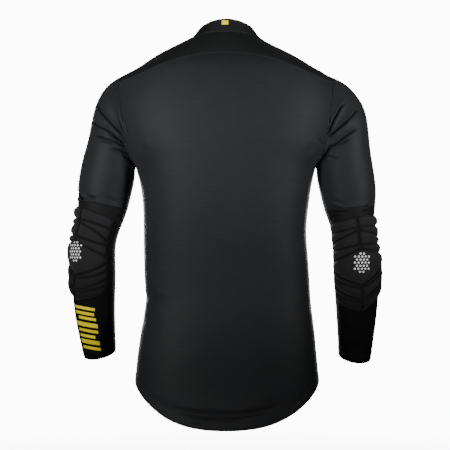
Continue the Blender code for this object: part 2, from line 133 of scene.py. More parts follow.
class Shader:
    """A material while it is built, with the coordinates that its patterns lie in."""

    def __init__(self, name: str, place_node: str, place: str, **settings: object) -> None:
        """Starts the material.

        Args:
            name: The material's name.
            place_node: The type of the node that gives the coordinates.
            place: That node's output.
            settings: Properties of that node.
        """
        self.material = bpy.data.materials.new(name)
        self.material.use_nodes = True
        self.tree = self.material.node_tree
        self.surface = self.tree.nodes["Principled BSDF"]
        self.place = add_node(self.tree, place_node, settings).outputs[place]

    def set(self, values: dict[str, float | tuple[float, ...]]) -> None:
        """Sets inputs of the surface to fixed values."""
        for name, value in values.items():
            self.surface.inputs[name].default_value = value

    def feed(self, socket: Socket, name: str) -> None:
        """Links a socket to an input of the surface."""
        self.tree.links.new(socket, self.surface.inputs[name])

    def noise(
        self, scale: float, detail: float, roughness: float = 0.5, at: Socket | None = None
    ) -> Socket:
        """Adds noise, from 0 to 1.

        Args:
            scale: The patches in one metre.
            detail: The octaves of finer noise on it.
            roughness: The strength of those.
            at: Other coordinates than the material's own.

        Returns:
            The noise.
        """
        values = {"Scale": scale, "Detail": detail, "Roughness": roughness}
        links = {"Vector": at or self.place}
        return add_node(self.tree, "ShaderNodeTexNoise", None, values, links).outputs["Fac"]

    def bands(self, period: float, way: str) -> Socket:
        """Adds even bands from 0 to 1, such as a knit's wales.

        Args:
            period: The distance from band to band, in metres.
            way: The axis that crosses them.

        Returns:
            The bands.
        """
        settings = {"wave_type": "BANDS", "bands_direction": way, "wave_profile": "SIN"}
        # A Wave Texture of scale 1 repeats every tau / 20
        values = {"Scale": math.tau / 20 / period, "Distortion": 0.0}
        links = {"Vector": self.place}
        return add_node(self.tree, "ShaderNodeTexWave", settings, values, links).outputs["Fac"]

    def ramp(self, value: Socket, span: Pair, to: Pair = (0.0, 1.0), kind: str = "LINEAR") -> Socket:
        """Maps a value from one span to another.

        Args:
            value: The value.
            span: Where the ramp starts and ends.
            to: What it gives there.
            kind: The ramp's interpolation.

        Returns:
            The mapped value.
        """
        values = {"From Min": span[0], "From Max": span[1], "To Min": to[0], "To Max": to[1]}
        settings = {"interpolation_type": kind}
        links = {"Value": value}
        return add_node(self.tree, "ShaderNodeMapRange", settings, values, links).outputs["Result"]

    def sum(self, value: Socket, share: Socket | float, other: Socket | float, clamp: bool) -> Socket:
        """Multiplies a value by a share and adds another value.

        Args:
            value: The value.
            share: What it is multiplied by.
            other: What is added.
            clamp: Whether the result is kept from 0 to 1.

        Returns:
            The sum.
        """
        sockets = {0: value, 1: share, 2: other}
        values = {slot: item for slot, item in sockets.items() if isinstance(item, float)}
        links = {slot: item for slot, item in sockets.items() if slot not in values}
        settings = {"operation": "MULTIPLY_ADD", "use_clamp": clamp}
        return add_node(self.tree, "ShaderNodeMath", settings, values, links).outputs[0]

    def mix(self, share: Socket, low: Socket | str, high: str) -> Socket:
        """Mixes a colour with a second one.

        Args:
            share: The second one's share.
            low: The first colour, as a socket or in hex.
            high: The second colour in hex.

        Returns:
            The mixed colour.
        """
        values, links = {7: linear(high)}, {0: share}
        if isinstance(low, str):
            values[6] = linear(low)
        else:
            links[6] = low
        settings = {"data_type": "RGBA"}
        return add_node(self.tree, "ShaderNodeMix", settings, values, links).outputs[2]

    def raise_by(self, height: Socket, strength: float, distance: float) -> None:
        """Bumps the surface by a height, with its strength and its distance in metres."""
        values = {"Strength": strength, "Distance": distance}
        bump = add_node(self.tree, "ShaderNodeBump", None, values, {"Height": height})
        self.feed(bump.outputs["Normal"], "Normal")


@dataclass(frozen=True)
class KnitFinish:
    """A warp-knit cloth of polyester and elastane.

    The eye sees a smooth, slightly satin face with fine upright wales, which the loops cross in
    courses, and faint level streaks where the yarn is thicker. The real wales are 0.5 mm apart and
    the streaks under 1 mm high. Both are drawn coarser, so that they show from a step away.
    A cloth can fade to an upper colour between two heights along its grain. On the back and the pads
    that fade is painted shade, where the soft boxes' light falls off; on the forearm it pales the colour
    round the elbow.
    """

    name: str
    colour: str
    worn_colour: str
    roughness: float
    specular: float = 0.4
    sheen: float = 0.0
    sheen_roughness: float = 0.4
    wale: float = 1.3
    course: float = 1.0
    relief: float = 0.06
    nap: float = 1.1
    brushed: float = 0.0
    streak: float = 0.5
    streak_size: Pair = (30.0, 2.4)
    cloud_size: float = 55.0
    cloudy_gloss: float = 0.035
    upper_colour: str = ""
    fade_from: float = 0.0
    fade_to: float = 1.0
    painted_groove_shade: str = ""

    def build(self) -> bpy.types.Material:
        """Builds the finish.

        Returns:
            The material, which reads the grain of the piece that it is on.
        """
        shader = Shader(self.name, "ShaderNodeUVMap", "UV", uv_map=GRAIN)
        shader.set({"Specular IOR Level": self.specular, "Diffuse Roughness": 1.0})
        shader.set({"Sheen Weight": self.sheen, "Sheen Roughness": self.sheen_roughness})
        scale = (*(1 / (size * MM) for size in self.streak_size), 1.0)
        links = {"Vector": shader.place}
        squeezed = add_node(shader.tree, "ShaderNodeMapping", None, {"Scale": scale}, links)
        streaks = shader.noise(1.0, 3.0, 0.6, squeezed.outputs["Vector"])
        clouds = shader.noise(1 / (self.cloud_size * MM), 3.0, 0.55)
        shader.feed(self.shade(shader, clouds, streaks), "Base Color")
        gloss = (self.roughness - self.cloudy_gloss, self.roughness + self.cloudy_gloss)
        shader.feed(shader.ramp(clouds, (0.3, 0.7), gloss), "Roughness")
        # The wales stand highest, then come the courses, the nap and the streaks
        height = shader.bands(self.wale * MM, "X")
        nap = shader.noise(1 / (self.nap * MM), 2.0, 0.55)
        courses = shader.bands(self.course * MM, "Y")
        for layer, weight in ((courses, 0.45), (nap, self.brushed), (streaks, 1.6 * self.streak)):
            height = shader.sum(layer, weight, height, False)
        shader.raise_by(height, 0.7, self.relief * MM)
        return shader.material

    def shade(self, shader: Shader, clouds: Socket, streaks: Socket) -> Socket:
        """Mixes the colour from its two shades, its fade and the shade painted into its grooves and
        creases.

        Args:
            shader: The material.
            clouds: Broad patches, from 0 to 1.
            streaks: Level streaks, from 0 to 1.

        Returns:
            The colour.
        """
        share = shader.sum(streaks, 2.4 * self.streak, -1.2 * self.streak, True)
        share = shader.sum(share, 1.0, clouds, True)
        colour = shader.mix(share, self.colour, self.worn_colour)
        # On the back and the pads the fade is painted shade, where the light falls off
        if self.upper_colour:
            along = add_node(shader.tree, "ShaderNodeSeparateXYZ", None, None, {"Vector": shader.place})
            span = (self.fade_from, self.fade_to)
            fade = shader.ramp(along.outputs["Y"], span, kind="SMOOTHSTEP")
            colour = shader.mix(fade, colour, self.upper_colour)
        # Creases and sewn grooves are painted darker by the share kept on the mesh: painted shade
        if self.painted_groove_shade:
            painted_shade = add_node(shader.tree, "ShaderNodeAttribute", {"attribute_name": PAINTED_SHADE_MASK})
            colour = shader.mix(painted_shade.outputs["Fac"], colour, self.painted_groove_shade)
        return colour


@dataclass(frozen=True)
class PlainFinish:
    """A thread or print of one colour, with a fine tooth."""

    name: str
    colour: str
    shade: str
    roughness: float
    tooth: float = 0.6
    relief: float = 0.02

    def build(self) -> bpy.types.Material:
        """Builds the finish, whose pattern follows the object's own space.

        Returns:
            The material.
        """
        shader = Shader(self.name, "ShaderNodeTexCoord", "Object")
        shader.set({"Roughness": self.roughness, "Specular IOR Level": 0.4})
        tooth = shader.noise(1 / (self.tooth * MM), 2.0)
        shader.feed(shader.mix(tooth, self.colour, self.shade), "Base Color")
        shader.raise_by(tooth, 0.5, self.relief * MM)
        return shader.material


@dataclass(frozen=True)
class FloorFinish:
    """A pale floor sweep that thins out to the white round it, so that no edge of it shows."""

    name: str = "pale_floor_sweep"
    colour: str = "#e9e9e8"
    solid: float = 0.5
    clear_from: float = 0.8
    clear_to: float = 2.0

    def build(self) -> bpy.types.Material:
        """Builds the finish.

        Returns:
            The material.
        """
        shader = Shader(self.name, "ShaderNodeTexCoord", "Object")
        shader.set({"Base Color": linear(self.colour), "Roughness": 0.9, "Specular IOR Level": 0.1})
        settings, links = {"operation": "LENGTH"}, {0: shader.place}
        reach = add_node(shader.tree, "ShaderNodeVectorMath", settings, None, links).outputs["Value"]
        span = (self.clear_from, self.clear_to)
        shader.feed(shader.ramp(reach, span, (self.solid, 0.0), "SMOOTHSTEP"), "Alpha")
        return shader.material


BODY_BLACK = "#1c1d1f"
# Body knit: evenly lit where it faces the light, near black at its sides; its narrow creases get painted
# shade
BODY_KNIT = KnitFinish(
    "body_satin_knit", BODY_BLACK, "#252628", roughness=0.62, specular=0.16, sheen=0.02, streak=0.9,
    painted_groove_shade="#08080a",
)
# The back panel darkens up towards the yoke: painted shade, where the soft boxes' light falls off
BACK_KNIT = replace(
    BODY_KNIT, name="back_satin_knit", upper_colour="#121315", fade_from=-0.085, fade_to=-0.03
)
# The yoke and collar are the same knit, coloured darker than the body
YOKE_KNIT = KnitFinish(
    "yoke_dark_knit", "#0a0b0c", "#0f1011", roughness=0.66, specular=0.25, sheen=0.02, wale=1.1
)
# The forearm knit is dyed the deepest black, and is as pale as the body's round the elbow
FOREARM_KNIT = KnitFinish(
    "forearm_matt_knit",
    "#060607",
    "#09090a",
    roughness=0.7,
    specular=0.16,
    sheen=0.01,
    wale=1.2,
    upper_colour="#121214",
    fade_from=0.13,
    fade_to=0.25,
)
# The pads are covered in brushed knit, with a short nap that scatters the light. Their colour darkens
# towards the bottom as painted shade, where the light falls off, and their grooves get painted shade
PAD_KNIT = KnitFinish(
    "pad_brushed_knit",
    "#0c0c0d",
    "#101011",
    roughness=0.85,
    specular=0.2,
    sheen=0.06,
    sheen_roughness=0.5,
    brushed=0.8,
    relief=0.10,
    streak=0.2,
    upper_colour="#222224",
    fade_from=-0.02,
    fade_to=0.06,
    painted_groove_shade="#020202",
)
THREAD = PlainFinish("filament_polyester_thread", "#1c1d1f", "#28292b", roughness=0.5, tooth=0.4)
# The pads are quilted with a blacker thread, which pulls deep into the nap; its black, deeper than the
# pad's cloth, is partly painted shade in the grooves
PAD_THREAD = PlainFinish("black_pad_thread", "#040405", "#0a0a0b", roughness=0.7, tooth=0.4)
YELLOW_PRINT = PlainFinish("yellow_heat_transfer", "#ffe800", "#f9de00", roughness=0.5, tooth=1.2)
WHITE_GRIP = PlainFinish("white_silicone_grip", "#f4f4f2", "#ebebe9", roughness=0.4, tooth=1.0)


# Mesh helpers


def deselect_all() -> None:
    """Clears the selection, because an operator acts on all that is selected."""
    bpy.ops.object.select_all(action="DESELECT")


def apply_modifiers(piece: bpy.types.Object) -> None:
    """Applies every modifier on a piece, in order."""
    deselect_all()
    piece.select_set(True)
    bpy.context.view_layer.objects.active = piece
    for modifier in list(piece.modifiers):
        bpy.ops.object.modifier_apply(modifier=modifier.name)


def points_of(mesh: bpy.types.Mesh) -> np.ndarray:
    """Gives a mesh's points as rows of x, y and z."""
    flat = np.empty(len(mesh.vertices) * 3, np.float32)
    mesh.vertices.foreach_get("co", flat)
    return flat.reshape(-1, 3).astype(float)


def normals_of(mesh: bpy.types.Mesh) -> np.ndarray:
    """Gives the normal at each of a mesh's points."""
    flat = np.empty(len(mesh.vertices) * 3, np.float32)
    mesh.vertex_normals.foreach_get("vector", flat)
    return flat.reshape(-1, 3).astype(float)


def edge_ends(mesh: bpy.types.Mesh) -> np.ndarray:
    """Gives the two points of each of a mesh's edges."""
    flat = np.empty(len(mesh.edges) * 2, int)
    mesh.edges.foreach_get("vertices", flat)
    return flat.reshape(-1, 2)


def distances(points: Sequence[Sequence[float]], others: Sequence[Sequence[float]]) -> np.ndarray:
    """Measures how many millimetres each point is from the nearest of some others."""
    finder = KDTree(len(others))
    for number, other in enumerate(others):
        finder.insert(other, number)
    finder.balance()
    return np.array([finder.find(point)[2] for point in points]) / MM


def move_points(mesh: bpy.types.Mesh, points: np.ndarray) -> None:
    """Writes a mesh's points back."""
    mesh.vertices.foreach_set("co", points.astype(np.float32).ravel())
    mesh.update()


def smooth_step(value: np.ndarray | float) -> np.ndarray:
    """Eases from 0 to 1."""
    t = np.clip(value, 0, 1)
    return t * t * (3 - 2 * t)


def link(name: str, mesh: bpy.types.Mesh) -> bpy.types.Object:
    """Puts a mesh in the scene as an object at the origin."""
    piece = bpy.data.objects.new(name, mesh)
    bpy.context.scene.collection.objects.link(piece)
    return piece


def round_off(piece: bpy.types.Object, levels: int) -> None:
    """Rounds a coarse mesh into a fine one, which keeps the corners of open edges."""
    rounding = piece.modifiers.new("rounding", "SUBSURF")
    rounding.levels = rounding.render_levels = levels
    rounding.boundary_smooth = "PRESERVE_CORNERS"
    apply_modifiers(piece)


def thicken(piece: bpy.types.Object, thickness: float, side: int) -> None:
    """Gives a sheet its thickness in millimetres, inwards for a side of -1 and to both for 0."""
    wall = piece.modifiers.new("wall", "SOLIDIFY")
    wall.thickness = thickness * MM
    wall.offset = side
    apply_modifiers(piece)


def dress(piece: bpy.types.Object, finish: KnitFinish | PlainFinish, sharp: float | None = None) -> None:
    """Gives a piece its finish, and lets it ride on the one body.

    Args:
        piece: The piece.
        finish: Its finish.
        sharp: The angle in degrees from which its edges are shaded sharp, if any are.
    """
    mesh = piece.data
    mesh.materials.append(finish.build())
    mesh.shade_smooth()
    if sharp is not None:
        mesh.set_sharp_from_angle(angle=math.radians(sharp))
    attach(piece, ROOT)
    log.info("%s: %d faces", piece.name, len(mesh.polygons))


def take_template() -> tuple[np.ndarray, Faces]:
    """Takes the points and faces of the active object, and removes it."""
    template = bpy.context.active_object
    points, faces = points_of(template.data), [tuple(p.vertices) for p in template.data.polygons]
    bpy.data.objects.remove(template, do_unlink=True)
    return points, faces


def join_copies(name: str, faces: Faces, copies: list[np.ndarray]) -> bpy.types.Object:
    """Joins copies of one shape into a piece.

    Args:
        name: The name of the piece.
        faces: The shape's faces.
        copies: The shape's points, in each of its places.

    Returns:
        The piece.
    """
    starts = range(0, len(copies) * len(copies[0]), len(copies[0]))
    polygons = [tuple(v + start for v in face) for start in starts for face in faces]
    mesh = bpy.data.meshes.new(name)
    mesh.from_pydata(np.concatenate(copies).tolist(), [], polygons)
    return link(name, mesh)


def chains(pairs: Iterable[Sequence[int]], corners: set[int] | None = None) -> list[np.ndarray]:
    """Chains edges into runs, from corner to corner, or closed where there is no corner.

    Args:
        pairs: The two points of each edge.
        corners: The points that end a run. Without them, it ends where other than two edges meet.

    Returns:
        Runs of point indices.
    """
    beside: dict[int, list[int]] = {}
    for a, b in pairs:
        beside.setdefault(int(a), []).append(int(b))
        beside.setdefault(int(b), []).append(int(a))
    if corners is None:
        corners = {v for v, others in beside.items() if len(others) != 2}
    unused = {frozenset((v, other)) for v, others in beside.items() for other in others}
    runs = []
    for start in [v for v in beside if v in corners] + list(beside):
        for first in beside[start]:
            run, ahead = [start], [first]
            while ahead and frozenset((run[-1], ahead[0])) in unused:
                unused.discard(frozenset((run[-1], ahead[0])))
                run.append(ahead[0])
                ended = run[-1] in corners or run[-1] == start
                nearby = [] if ended else beside[run[-1]]
                ahead = [v for v in nearby if frozenset((run[-1], v)) in unused]
            if len(run) > 1:
                runs.append(np.array(run))
    return runs


def tree_of(piece: bpy.types.Object) -> BVHTree:
    """Builds a search tree of a piece's faces."""
    mesh = piece.data
    return BVHTree.FromPolygons([v.co for v in mesh.vertices], [p.vertices for p in mesh.polygons])


def islands(cage: bmesh.types.BMesh) -> list[list[bmesh.types.BMFace]]:
    """Splits a mesh's faces into connected groups.

    Args:
        cage: The mesh being edited.

    Returns:
        The groups, the one with the largest area first.
    """
    waiting = set(cage.faces)
    groups = []
    while waiting:
        group, edge_of_group = [], [waiting.pop()]
        while edge_of_group:
            face = edge_of_group.pop()
            group.append(face)
            for edge in face.edges:
                for other in edge.link_faces:
                    if other in waiting:
                        waiting.remove(other)
                        edge_of_group.append(other)
        groups.append(group)
    return sorted(groups, key=lambda faces: -sum(f.calc_area() for f in faces))


def merged_copy(node: str) -> bmesh.types.BMesh:
    """Copies a CAD node's mesh for editing and merges its loose triangles."""
    cage = bmesh.new()
    cage.from_mesh(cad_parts[node].data)
    bmesh.ops.remove_doubles(cage, verts=cage.verts, dist=WELD)
    return cage


def join_to_quads(cage: bmesh.types.BMesh) -> None:
    """Joins the triangles of a grid back into its quads."""
    bmesh.ops.join_triangles(
        cage, faces=cage.faces, angle_face_threshold=math.pi, angle_shape_threshold=math.pi
    )


def mesh_from(cage: bmesh.types.BMesh, name: str) -> bpy.types.Mesh:
    """Makes a new mesh of an edited one, and frees that."""
    mesh = bpy.data.meshes.new(name)
    cage.to_mesh(mesh)
    cage.free()
    mesh.materials.clear()
    return mesh


def outer_sheet(node: str) -> bpy.types.Mesh:
    """Copies the outer face of a CAD wall as an open sheet of quads.

    Args:
        node: The wall's CAD node.

    Returns:
        The sheet, with its faces pointing out.
    """
    cage = merged_copy(node)
    rim = {face for edge in cage.edges if edge.calc_length() < THIN_EDGE for face in edge.link_faces}
    bmesh.ops.delete(cage, geom=list(rim), context="FACES")
    for group in islands(cage)[1:]:
        bmesh.ops.delete(cage, geom=group, context="FACES")
    join_to_quads(cage)
    return mesh_from(cage, node)


# Folds in the cloth


class Facing(Enum):
    """The side of the shirt that a fold lies on, as the sign of Y."""

    BACK = 1
    FRONT = -1


# Where the photograph was taken from, and the size of one of its steps at the shirt's middle
CAMERA = (1.9 * MM, 3.0, -362.9 * MM)
STEP = 1.9 * MM
# The step across that lies at X = 0, and the step down that lies at Z = 0
CENTRE_STEP = 226
TOP_STEP = 34


def seen_steps(points: np.ndarray, facing: Facing) -> np.ndarray:
    """Works out where points are seen from behind, or from the front through the cloth.

    Args:
        points: Points in metres.
        facing: The side that they are seen from.

    Returns:
        Their places across and down, in steps of 1.9 mm.
    """
    camera = np.array(CAMERA) * (1, facing.value, 1)
    flat = camera + (points - camera) * (camera[1] / (camera[1] - points[:, 1]))[:, None]
    return np.stack((CENTRE_STEP - flat[:, 0] / STEP, TOP_STEP - flat[:, 2] / STEP), axis=1)


def curve_through(path: Sequence[Sequence[float]], count: int = 28) -> np.ndarray:
    """Draws a smooth curve through a few points.

    Args:
        path: The points.
        count: How many points the curve gets.

    Returns:
        Points spaced evenly along the curve's own parameter.
    """
    knots = np.array(path, float)
    knots = np.vstack((2 * knots[0] - knots[1], knots, 2 * knots[-1] - knots[-2]))
    spots = np.linspace(0, len(path) - 1 - 1e-9, count)
    low = spots.astype(int)
    t = (spots - low)[:, None]
    a, b, c, d = (knots[low + i] for i in range(4))
    return 0.5 * (
        2 * b + (c - a) * t + (2 * a - 5 * b + 4 * c - d) * t**2 + (3 * b - a - 3 * c + d) * t**3
    )


# A trough's cross-section in shares of its width: how blunt it is, where its banks stand highest,
# how wide they are, and how far the fold reaches
TROUGH_POWER = 1.7
BANK_AT = 2.3
BANK_WIDTH = 1.2
FOLD_REACH = 5


@dataclass(frozen=True)
class Fold:
    """A trough in the cloth, along a curve through points seen square to the back or the front.

    The points are in steps of 1.9 mm across and down, as seen from behind, from the top left of
    a square whose middle step across lies at X = 0. The width and depth are millimetres. The
    trough fades in and out over shares of its length, and the cloth bulges softly beside it.
    """

    path: tuple[tuple[float, float], ...]
    width: float
    depth: float
    fade_in: float = 0.35
    fade_out: float = 0.35
    bank: float = 0.35
    facing: Facing = Facing.BACK

    def lift(self, points: np.ndarray, normals: np.ndarray) -> np.ndarray:
        """Works out how far the fold moves each point along its normal.

        Args:
            points: Points on the cloth, in metres.
            normals: The cloth's normals there.

        Returns:
            The lift of each point in millimetres, below zero in the trough.
        """
        spots = seen_steps(points, self.facing)
        curve = curve_through(self.path)
        reach = FOLD_REACH * self.width / (STEP / MM)
        low, high = curve.min(axis=0) - reach, curve.max(axis=0) + reach
        near = np.flatnonzero(((spots > low) & (spots < high)).all(axis=1))
        lift = np.zeros(len(points))
        if not len(near):
            return lift
        starts, ways = curve[:-1], np.diff(curve, axis=0)
        lengths = np.linalg.norm(ways, axis=1)
        gone = np.concatenate(([0], np.cumsum(lengths)))
        away = spots[near, None] - starts
        share = np.clip((away * ways).sum(axis=2) / lengths**2, 0, 1)
        aside = np.linalg.norm(away - share[..., None] * ways, axis=2)
        closest = aside.argmin(axis=1)
        rows = np.arange(len(near))
        along = (gone[closest] + share[rows, closest] * lengths[closest]) / gone[-1]
        aside = aside[rows, closest] * STEP / MM / self.width
        strength = smooth_step(along / self.fade_in) * smooth_step((1 - along) / self.fade_out)
        trough = np.exp(-(aside**TROUGH_POWER))
        banks = np.exp(-(((aside - BANK_AT) / BANK_WIDTH) ** 2))
        faces_it = smooth_step((normals[near, 1] * self.facing.value + 0.05) / 0.35)
        lift[near] = (self.bank * banks - trough) * self.depth * strength * faces_it
        return lift


def on_the_front(folds: Iterable[Fold], share: float, stretch: float = 1.12) -> tuple[Fold, ...]:
    """Repeats folds on the front, a little longer and higher, and not as deep.

    Args:
        folds: The folds on the back.
        share: The depth in front, as a share.
        stretch: How much longer each one is, away from its last point.

    Returns:
        The folds on the front.
    """
    rise, wider = 3.0, 1.15
    repeated = []
    for fold in folds:
        end = fold.path[-1]
        path = tuple(
            (end[0] + (x - end[0]) * stretch, end[1] - rise + (y - end[1]) * (2 - stretch))
            for x, y in fold.path
        )
        sizes = {"width": fold.width * wider, "depth": fold.depth * share}
        repeated.append(replace(fold, path=path, facing=Facing.FRONT, **sizes))
    return tuple(repeated)


# Sharp drag folds run from the outside of each upper arm down into the armpit
LEFT_ARM_DRAG = (
    Fold(((96, 102), (100, 111), (108, 120), (114, 127), (121, 133), (126, 137)), 1.7, 4.2, 0.15, 0.2),
    Fold(((91, 120), (97, 126), (105, 129.5), (112, 134), (118, 139), (127, 146)), 1.8, 4.4, 0.12, 0.12),
    Fold(((101, 130), (108, 134), (114, 137.5), (121, 142)), 1.5, 2.1, 0.5, 0.3),
    Fold(((93, 135.5), (101, 137.3), (107, 139.5), (113, 141.5), (120, 144.5), (128, 149)),
         1.6, 3.6, 0.15, 0.15),
    Fold(((97, 139.8), (104, 141.5), (112, 143.8), (119, 147)), 1.5, 2.2, 0.3, 0.5),
    Fold(((108, 149.5), (116, 149.6), (123, 151.5), (131, 157)), 1.8, 2.9, 0.4, 0.2),
    Fold(((119, 152), (125, 156), (133, 163)), 1.9, 3.1, 0.4, 0.2),
    Fold(((103, 116), (108, 123.5), (113, 129)), 1.5, 1.2, 0.5, 0.5),
    Fold(((118, 116), (121, 124), (124, 132)), 1.5, 1.3, 0.5, 0.3),
)
RIGHT_ARM_DRAG = (
    Fold(((346, 102), (341, 107), (337.5, 113.5), (334, 120), (330.5, 128), (327, 136)),
         1.7, 4.2, 0.2, 0.2),
    Fold(((359, 108), (352, 116), (345, 122.5), (338, 129), (333, 133.5), (326, 139)),
         1.7, 4.2, 0.12, 0.15),
    Fold(((352, 119.5), (345, 124.5), (338, 130.5)), 1.5, 1.7, 0.5, 0.5),
    Fold(((358.5, 128), (352, 132), (345, 137), (340, 141), (334, 145), (326, 148)), 1.7, 3.6, 0.2, 0.2),
    Fold(((352, 138), (345, 142), (338, 145.3), (330, 147)), 1.5, 2.1, 0.4, 0.4),
    Fold(((344, 160), (334, 158), (324, 156)), 2.2, 1.2, 0.5, 0.3),
    Fold(((333, 142), (329, 149), (325, 156), (323, 163)), 2.6, 3.4, 0.3, 0.3),
    Fold(((331, 108), (330, 117), (328.5, 127)), 1.5, 1, 0.5, 0.4),
)
# The cloth pleats on the seam above the elbow pad
LEFT_ELBOW_PLEATS = (
    Fold(((76, 190), (79.5, 196), (84, 201)), 2.6, 5.5, 0.1, 0.3),
    Fold(((85, 196.5), (91, 197), (98, 198.5)), 2.2, 1.5),
    Fold(((88, 202), (96, 203.3), (103, 205.5)), 2.0, 1.3),
    Fold(((104, 196), (113, 201), (122, 203)), 3.5, 0.9),
)
RIGHT_ELBOW_PLEATS = (
    Fold(((327, 205), (337, 207.5), (347, 209.5), (354, 210.5)), 2.0, 1.6, 0.3, 0.2),
    Fold(((374, 203), (367, 206), (360, 208.5), (354, 210)), 2.2, 1.8, 0.3, 0.2),
    Fold(((330, 200), (339, 203), (349, 206)), 3.2, 0.9),
)
LEFT_PAD_PLEATS = (
    Fold(((98, 212), (104, 216), (109, 222), (110, 232)), 2.2, 1.5),
    Fold(((128, 214), (121, 216), (114, 221)), 2.4, 1.5, 0.2, 0.5),
    Fold(((125, 221), (119, 223), (113, 228)), 2.2, 1.6, 0.2, 0.5),
    Fold(((121, 228), (116, 230), (112, 235)), 2.2, 1.4, 0.2, 0.5),
    Fold(((116, 262), (110, 262), (105, 260)), 3.0, 1.0, 0.2, 0.5),
)
RIGHT_PAD_PLEATS = (
    Fold(((328, 212), (336, 212.5), (346, 212), (354, 213)), 2.0, 1.5, 0.3, 0.3),
    Fold(((375, 209.5), (367, 210.5), (360, 211.5)), 2.0, 1.5, 0.3, 0.3),
    Fold(((330, 219), (334, 216.5), (340, 215)), 2.2, 2.0, 0.2, 0.5),
)
# Broad, shallow folds of the back, the pinch at the waist and the roll above the hem
BACK_FOLDS = (
    Fold(((138, 297), (150, 298), (163, 301), (178, 306)), 6.0, 2.4, 0.02, 0.7, 0.3),
    Fold(((138, 319), (152, 322), (168, 329)), 8.0, 1.4, 0.1, 0.7),
    Fold(((318, 303), (306, 306), (292, 312)), 9.0, 1.2, 0.1, 0.7),
    Fold(((166, 406.5), (184, 410), (205, 412), (226, 413), (246, 412), (266, 408.5), (292, 403)),
         2.4, 3.6, 0.3, 0.35, 1.0),
    Fold(((176, 414.5), (194, 418), (212, 419.8), (232, 419.3), (252, 416.5), (276, 411.5)),
         2.0, 3.0, 0.35, 0.35, 0.7),
    Fold(((188, 422.5), (199, 423), (211, 421.5)), 2.6, 1.2),
    # A fold with a negative depth is a swell
    Fold(((150, 392), (178, 400.5), (205, 403), (232, 403.5), (258, 400), (296, 388)),
         8.5, -2.4, 0.25, 0.25, 0.0),
    Fold(((148, 409), (168, 420), (196, 427), (226, 429), (256, 425), (290, 414)),
         8.0, -3.2, 0.2, 0.2, 0.0),
    Fold(((142, 387), (150, 396), (160, 404.5), (172, 411)), 3.4, 1.2, 0.3, 0.3, 0.3),
    Fold(((310, 388), (301, 399), (292, 406), (282, 409)), 3.4, 1.2, 0.3, 0.3, 0.3),
    Fold(((124, 118), (126, 127), (128, 136)), 2.2, 1.4, 0.3, 0.3),
    Fold(((319, 138), (321, 142), (324, 146)), 2.2, 1.2, 0.3, 0.3),
    Fold(((136, 146), (144, 151), (153, 157)), 6.0, 0.6, 0.1, 0.7),
    Fold(((316, 146), (308, 151), (299, 157)), 6.0, 0.6, 0.1, 0.7),
)
FRONT_FOLDS = tuple(
    replace(fold, facing=Facing.FRONT)
    for fold in (
        Fold(((142, 292), (156, 297), (176, 306)), 8.0, 2.6, 0.05, 0.7),
        Fold(((316, 294), (302, 300), (282, 308)), 8.0, 2.2, 0.05, 0.7),
        Fold(((140, 318), (160, 326), (186, 340)), 10.0, 1.6, 0.1, 0.7),
        Fold(((318, 322), (298, 330), (272, 342)), 10.0, 1.5, 0.1, 0.7),
        Fold(((138, 150), (152, 160), (170, 174)), 8.0, 2.0, 0.08, 0.7),
        Fold(((314, 148), (300, 159), (280, 172)), 8.0, 2.0, 0.08, 0.7),
        Fold(((136, 138), (150, 141), (168, 146)), 7.0, 1.5, 0.08, 0.7),
        Fold(((316, 136), (304, 140), (286, 144)), 7.0, 1.5, 0.08, 0.7),
        Fold(((176, 371), (206, 376), (236, 375), (262, 371)), 6.0, 1.6),
        Fold(((192, 382), (216, 385), (246, 384)), 5.0, 1.1),
    )
)
# Slight rings where the forearm cloth gathers above its cuff
LEFT_FOREARM_FOLDS = (
    Fold(((76, 331), (88, 334), (102, 332)), 5.0, 0.7),
    Fold(((80, 343), (92, 346), (108, 343)), 4.5, 0.8),
    Fold(((116, 300), (110, 297), (104, 290)), 5.0, 0.7),
)
RIGHT_FOREARM_FOLDS = (
    Fold(((338, 331), (350, 334), (366, 331)), 5.0, 0.7),
    Fold(((341, 345), (352, 348), (366, 344)), 4.5, 0.8),
)


# Sewing


# A run of no more points than this is no edge of its own
SHORT_RUN = 8
# How high a stitch is as a share of its width, and how much of its half height shows
STITCH_HEIGHT = 0.7
STITCH_RISE = 0.35


class Rim(Enum):
    """An open edge of a sheet, named by the way in which it lies furthest."""

    LOW = (0, 0, -1)
    HIGH = (0, 0, 1)
    LEFT = (1, 0, 0)
    RIGHT = (-1, 0, 0)


@dataclass(frozen=True)
class SewnRow:
    """A row of stitches along an edge, with sizes in millimetres.

    The row lies at an inset from the edge. A leaning row turns each stitch across it by an angle
    in degrees, this way and that, as an overlocked seam does.
    """

    rim: Rim
    inset: float
    pitch: float = 3.6
    length: float = 2.7
    width: float = 0.55
    lean: float = 0.0


def rim_runs(mesh: bpy.types.Mesh) -> list[np.ndarray]:
    """Follows a sheet's open edges.

    Args:
        mesh: The sheet.

    Returns:
        Runs of point indices, from corner to corner, or closed where an edge has no corner.
    """
    edges_of_loops = np.empty(len(mesh.loops), int)
    mesh.loops.foreach_get("edge_index", edges_of_loops)
    uses, ends = np.bincount(edges_of_loops, minlength=len(mesh.edges)), edge_ends(mesh)
    return chains(ends[uses == 1], set(np.flatnonzero(np.bincount(ends.ravel()) == 2).tolist()))


def pick_run(runs: list[np.ndarray], points: np.ndarray, rim: Rim) -> np.ndarray:
    """Picks the run that lies furthest in a rim's direction.

    Args:
        runs: Runs of point indices.
        points: The sheet's points.
        rim: The rim that is wanted.

    Returns:
        That run.
    """
    long_runs = [run for run in runs if len(run) > SHORT_RUN]
    return max(long_runs, key=lambda run: float(points[run].mean(axis=0) @ np.array(rim.value)))


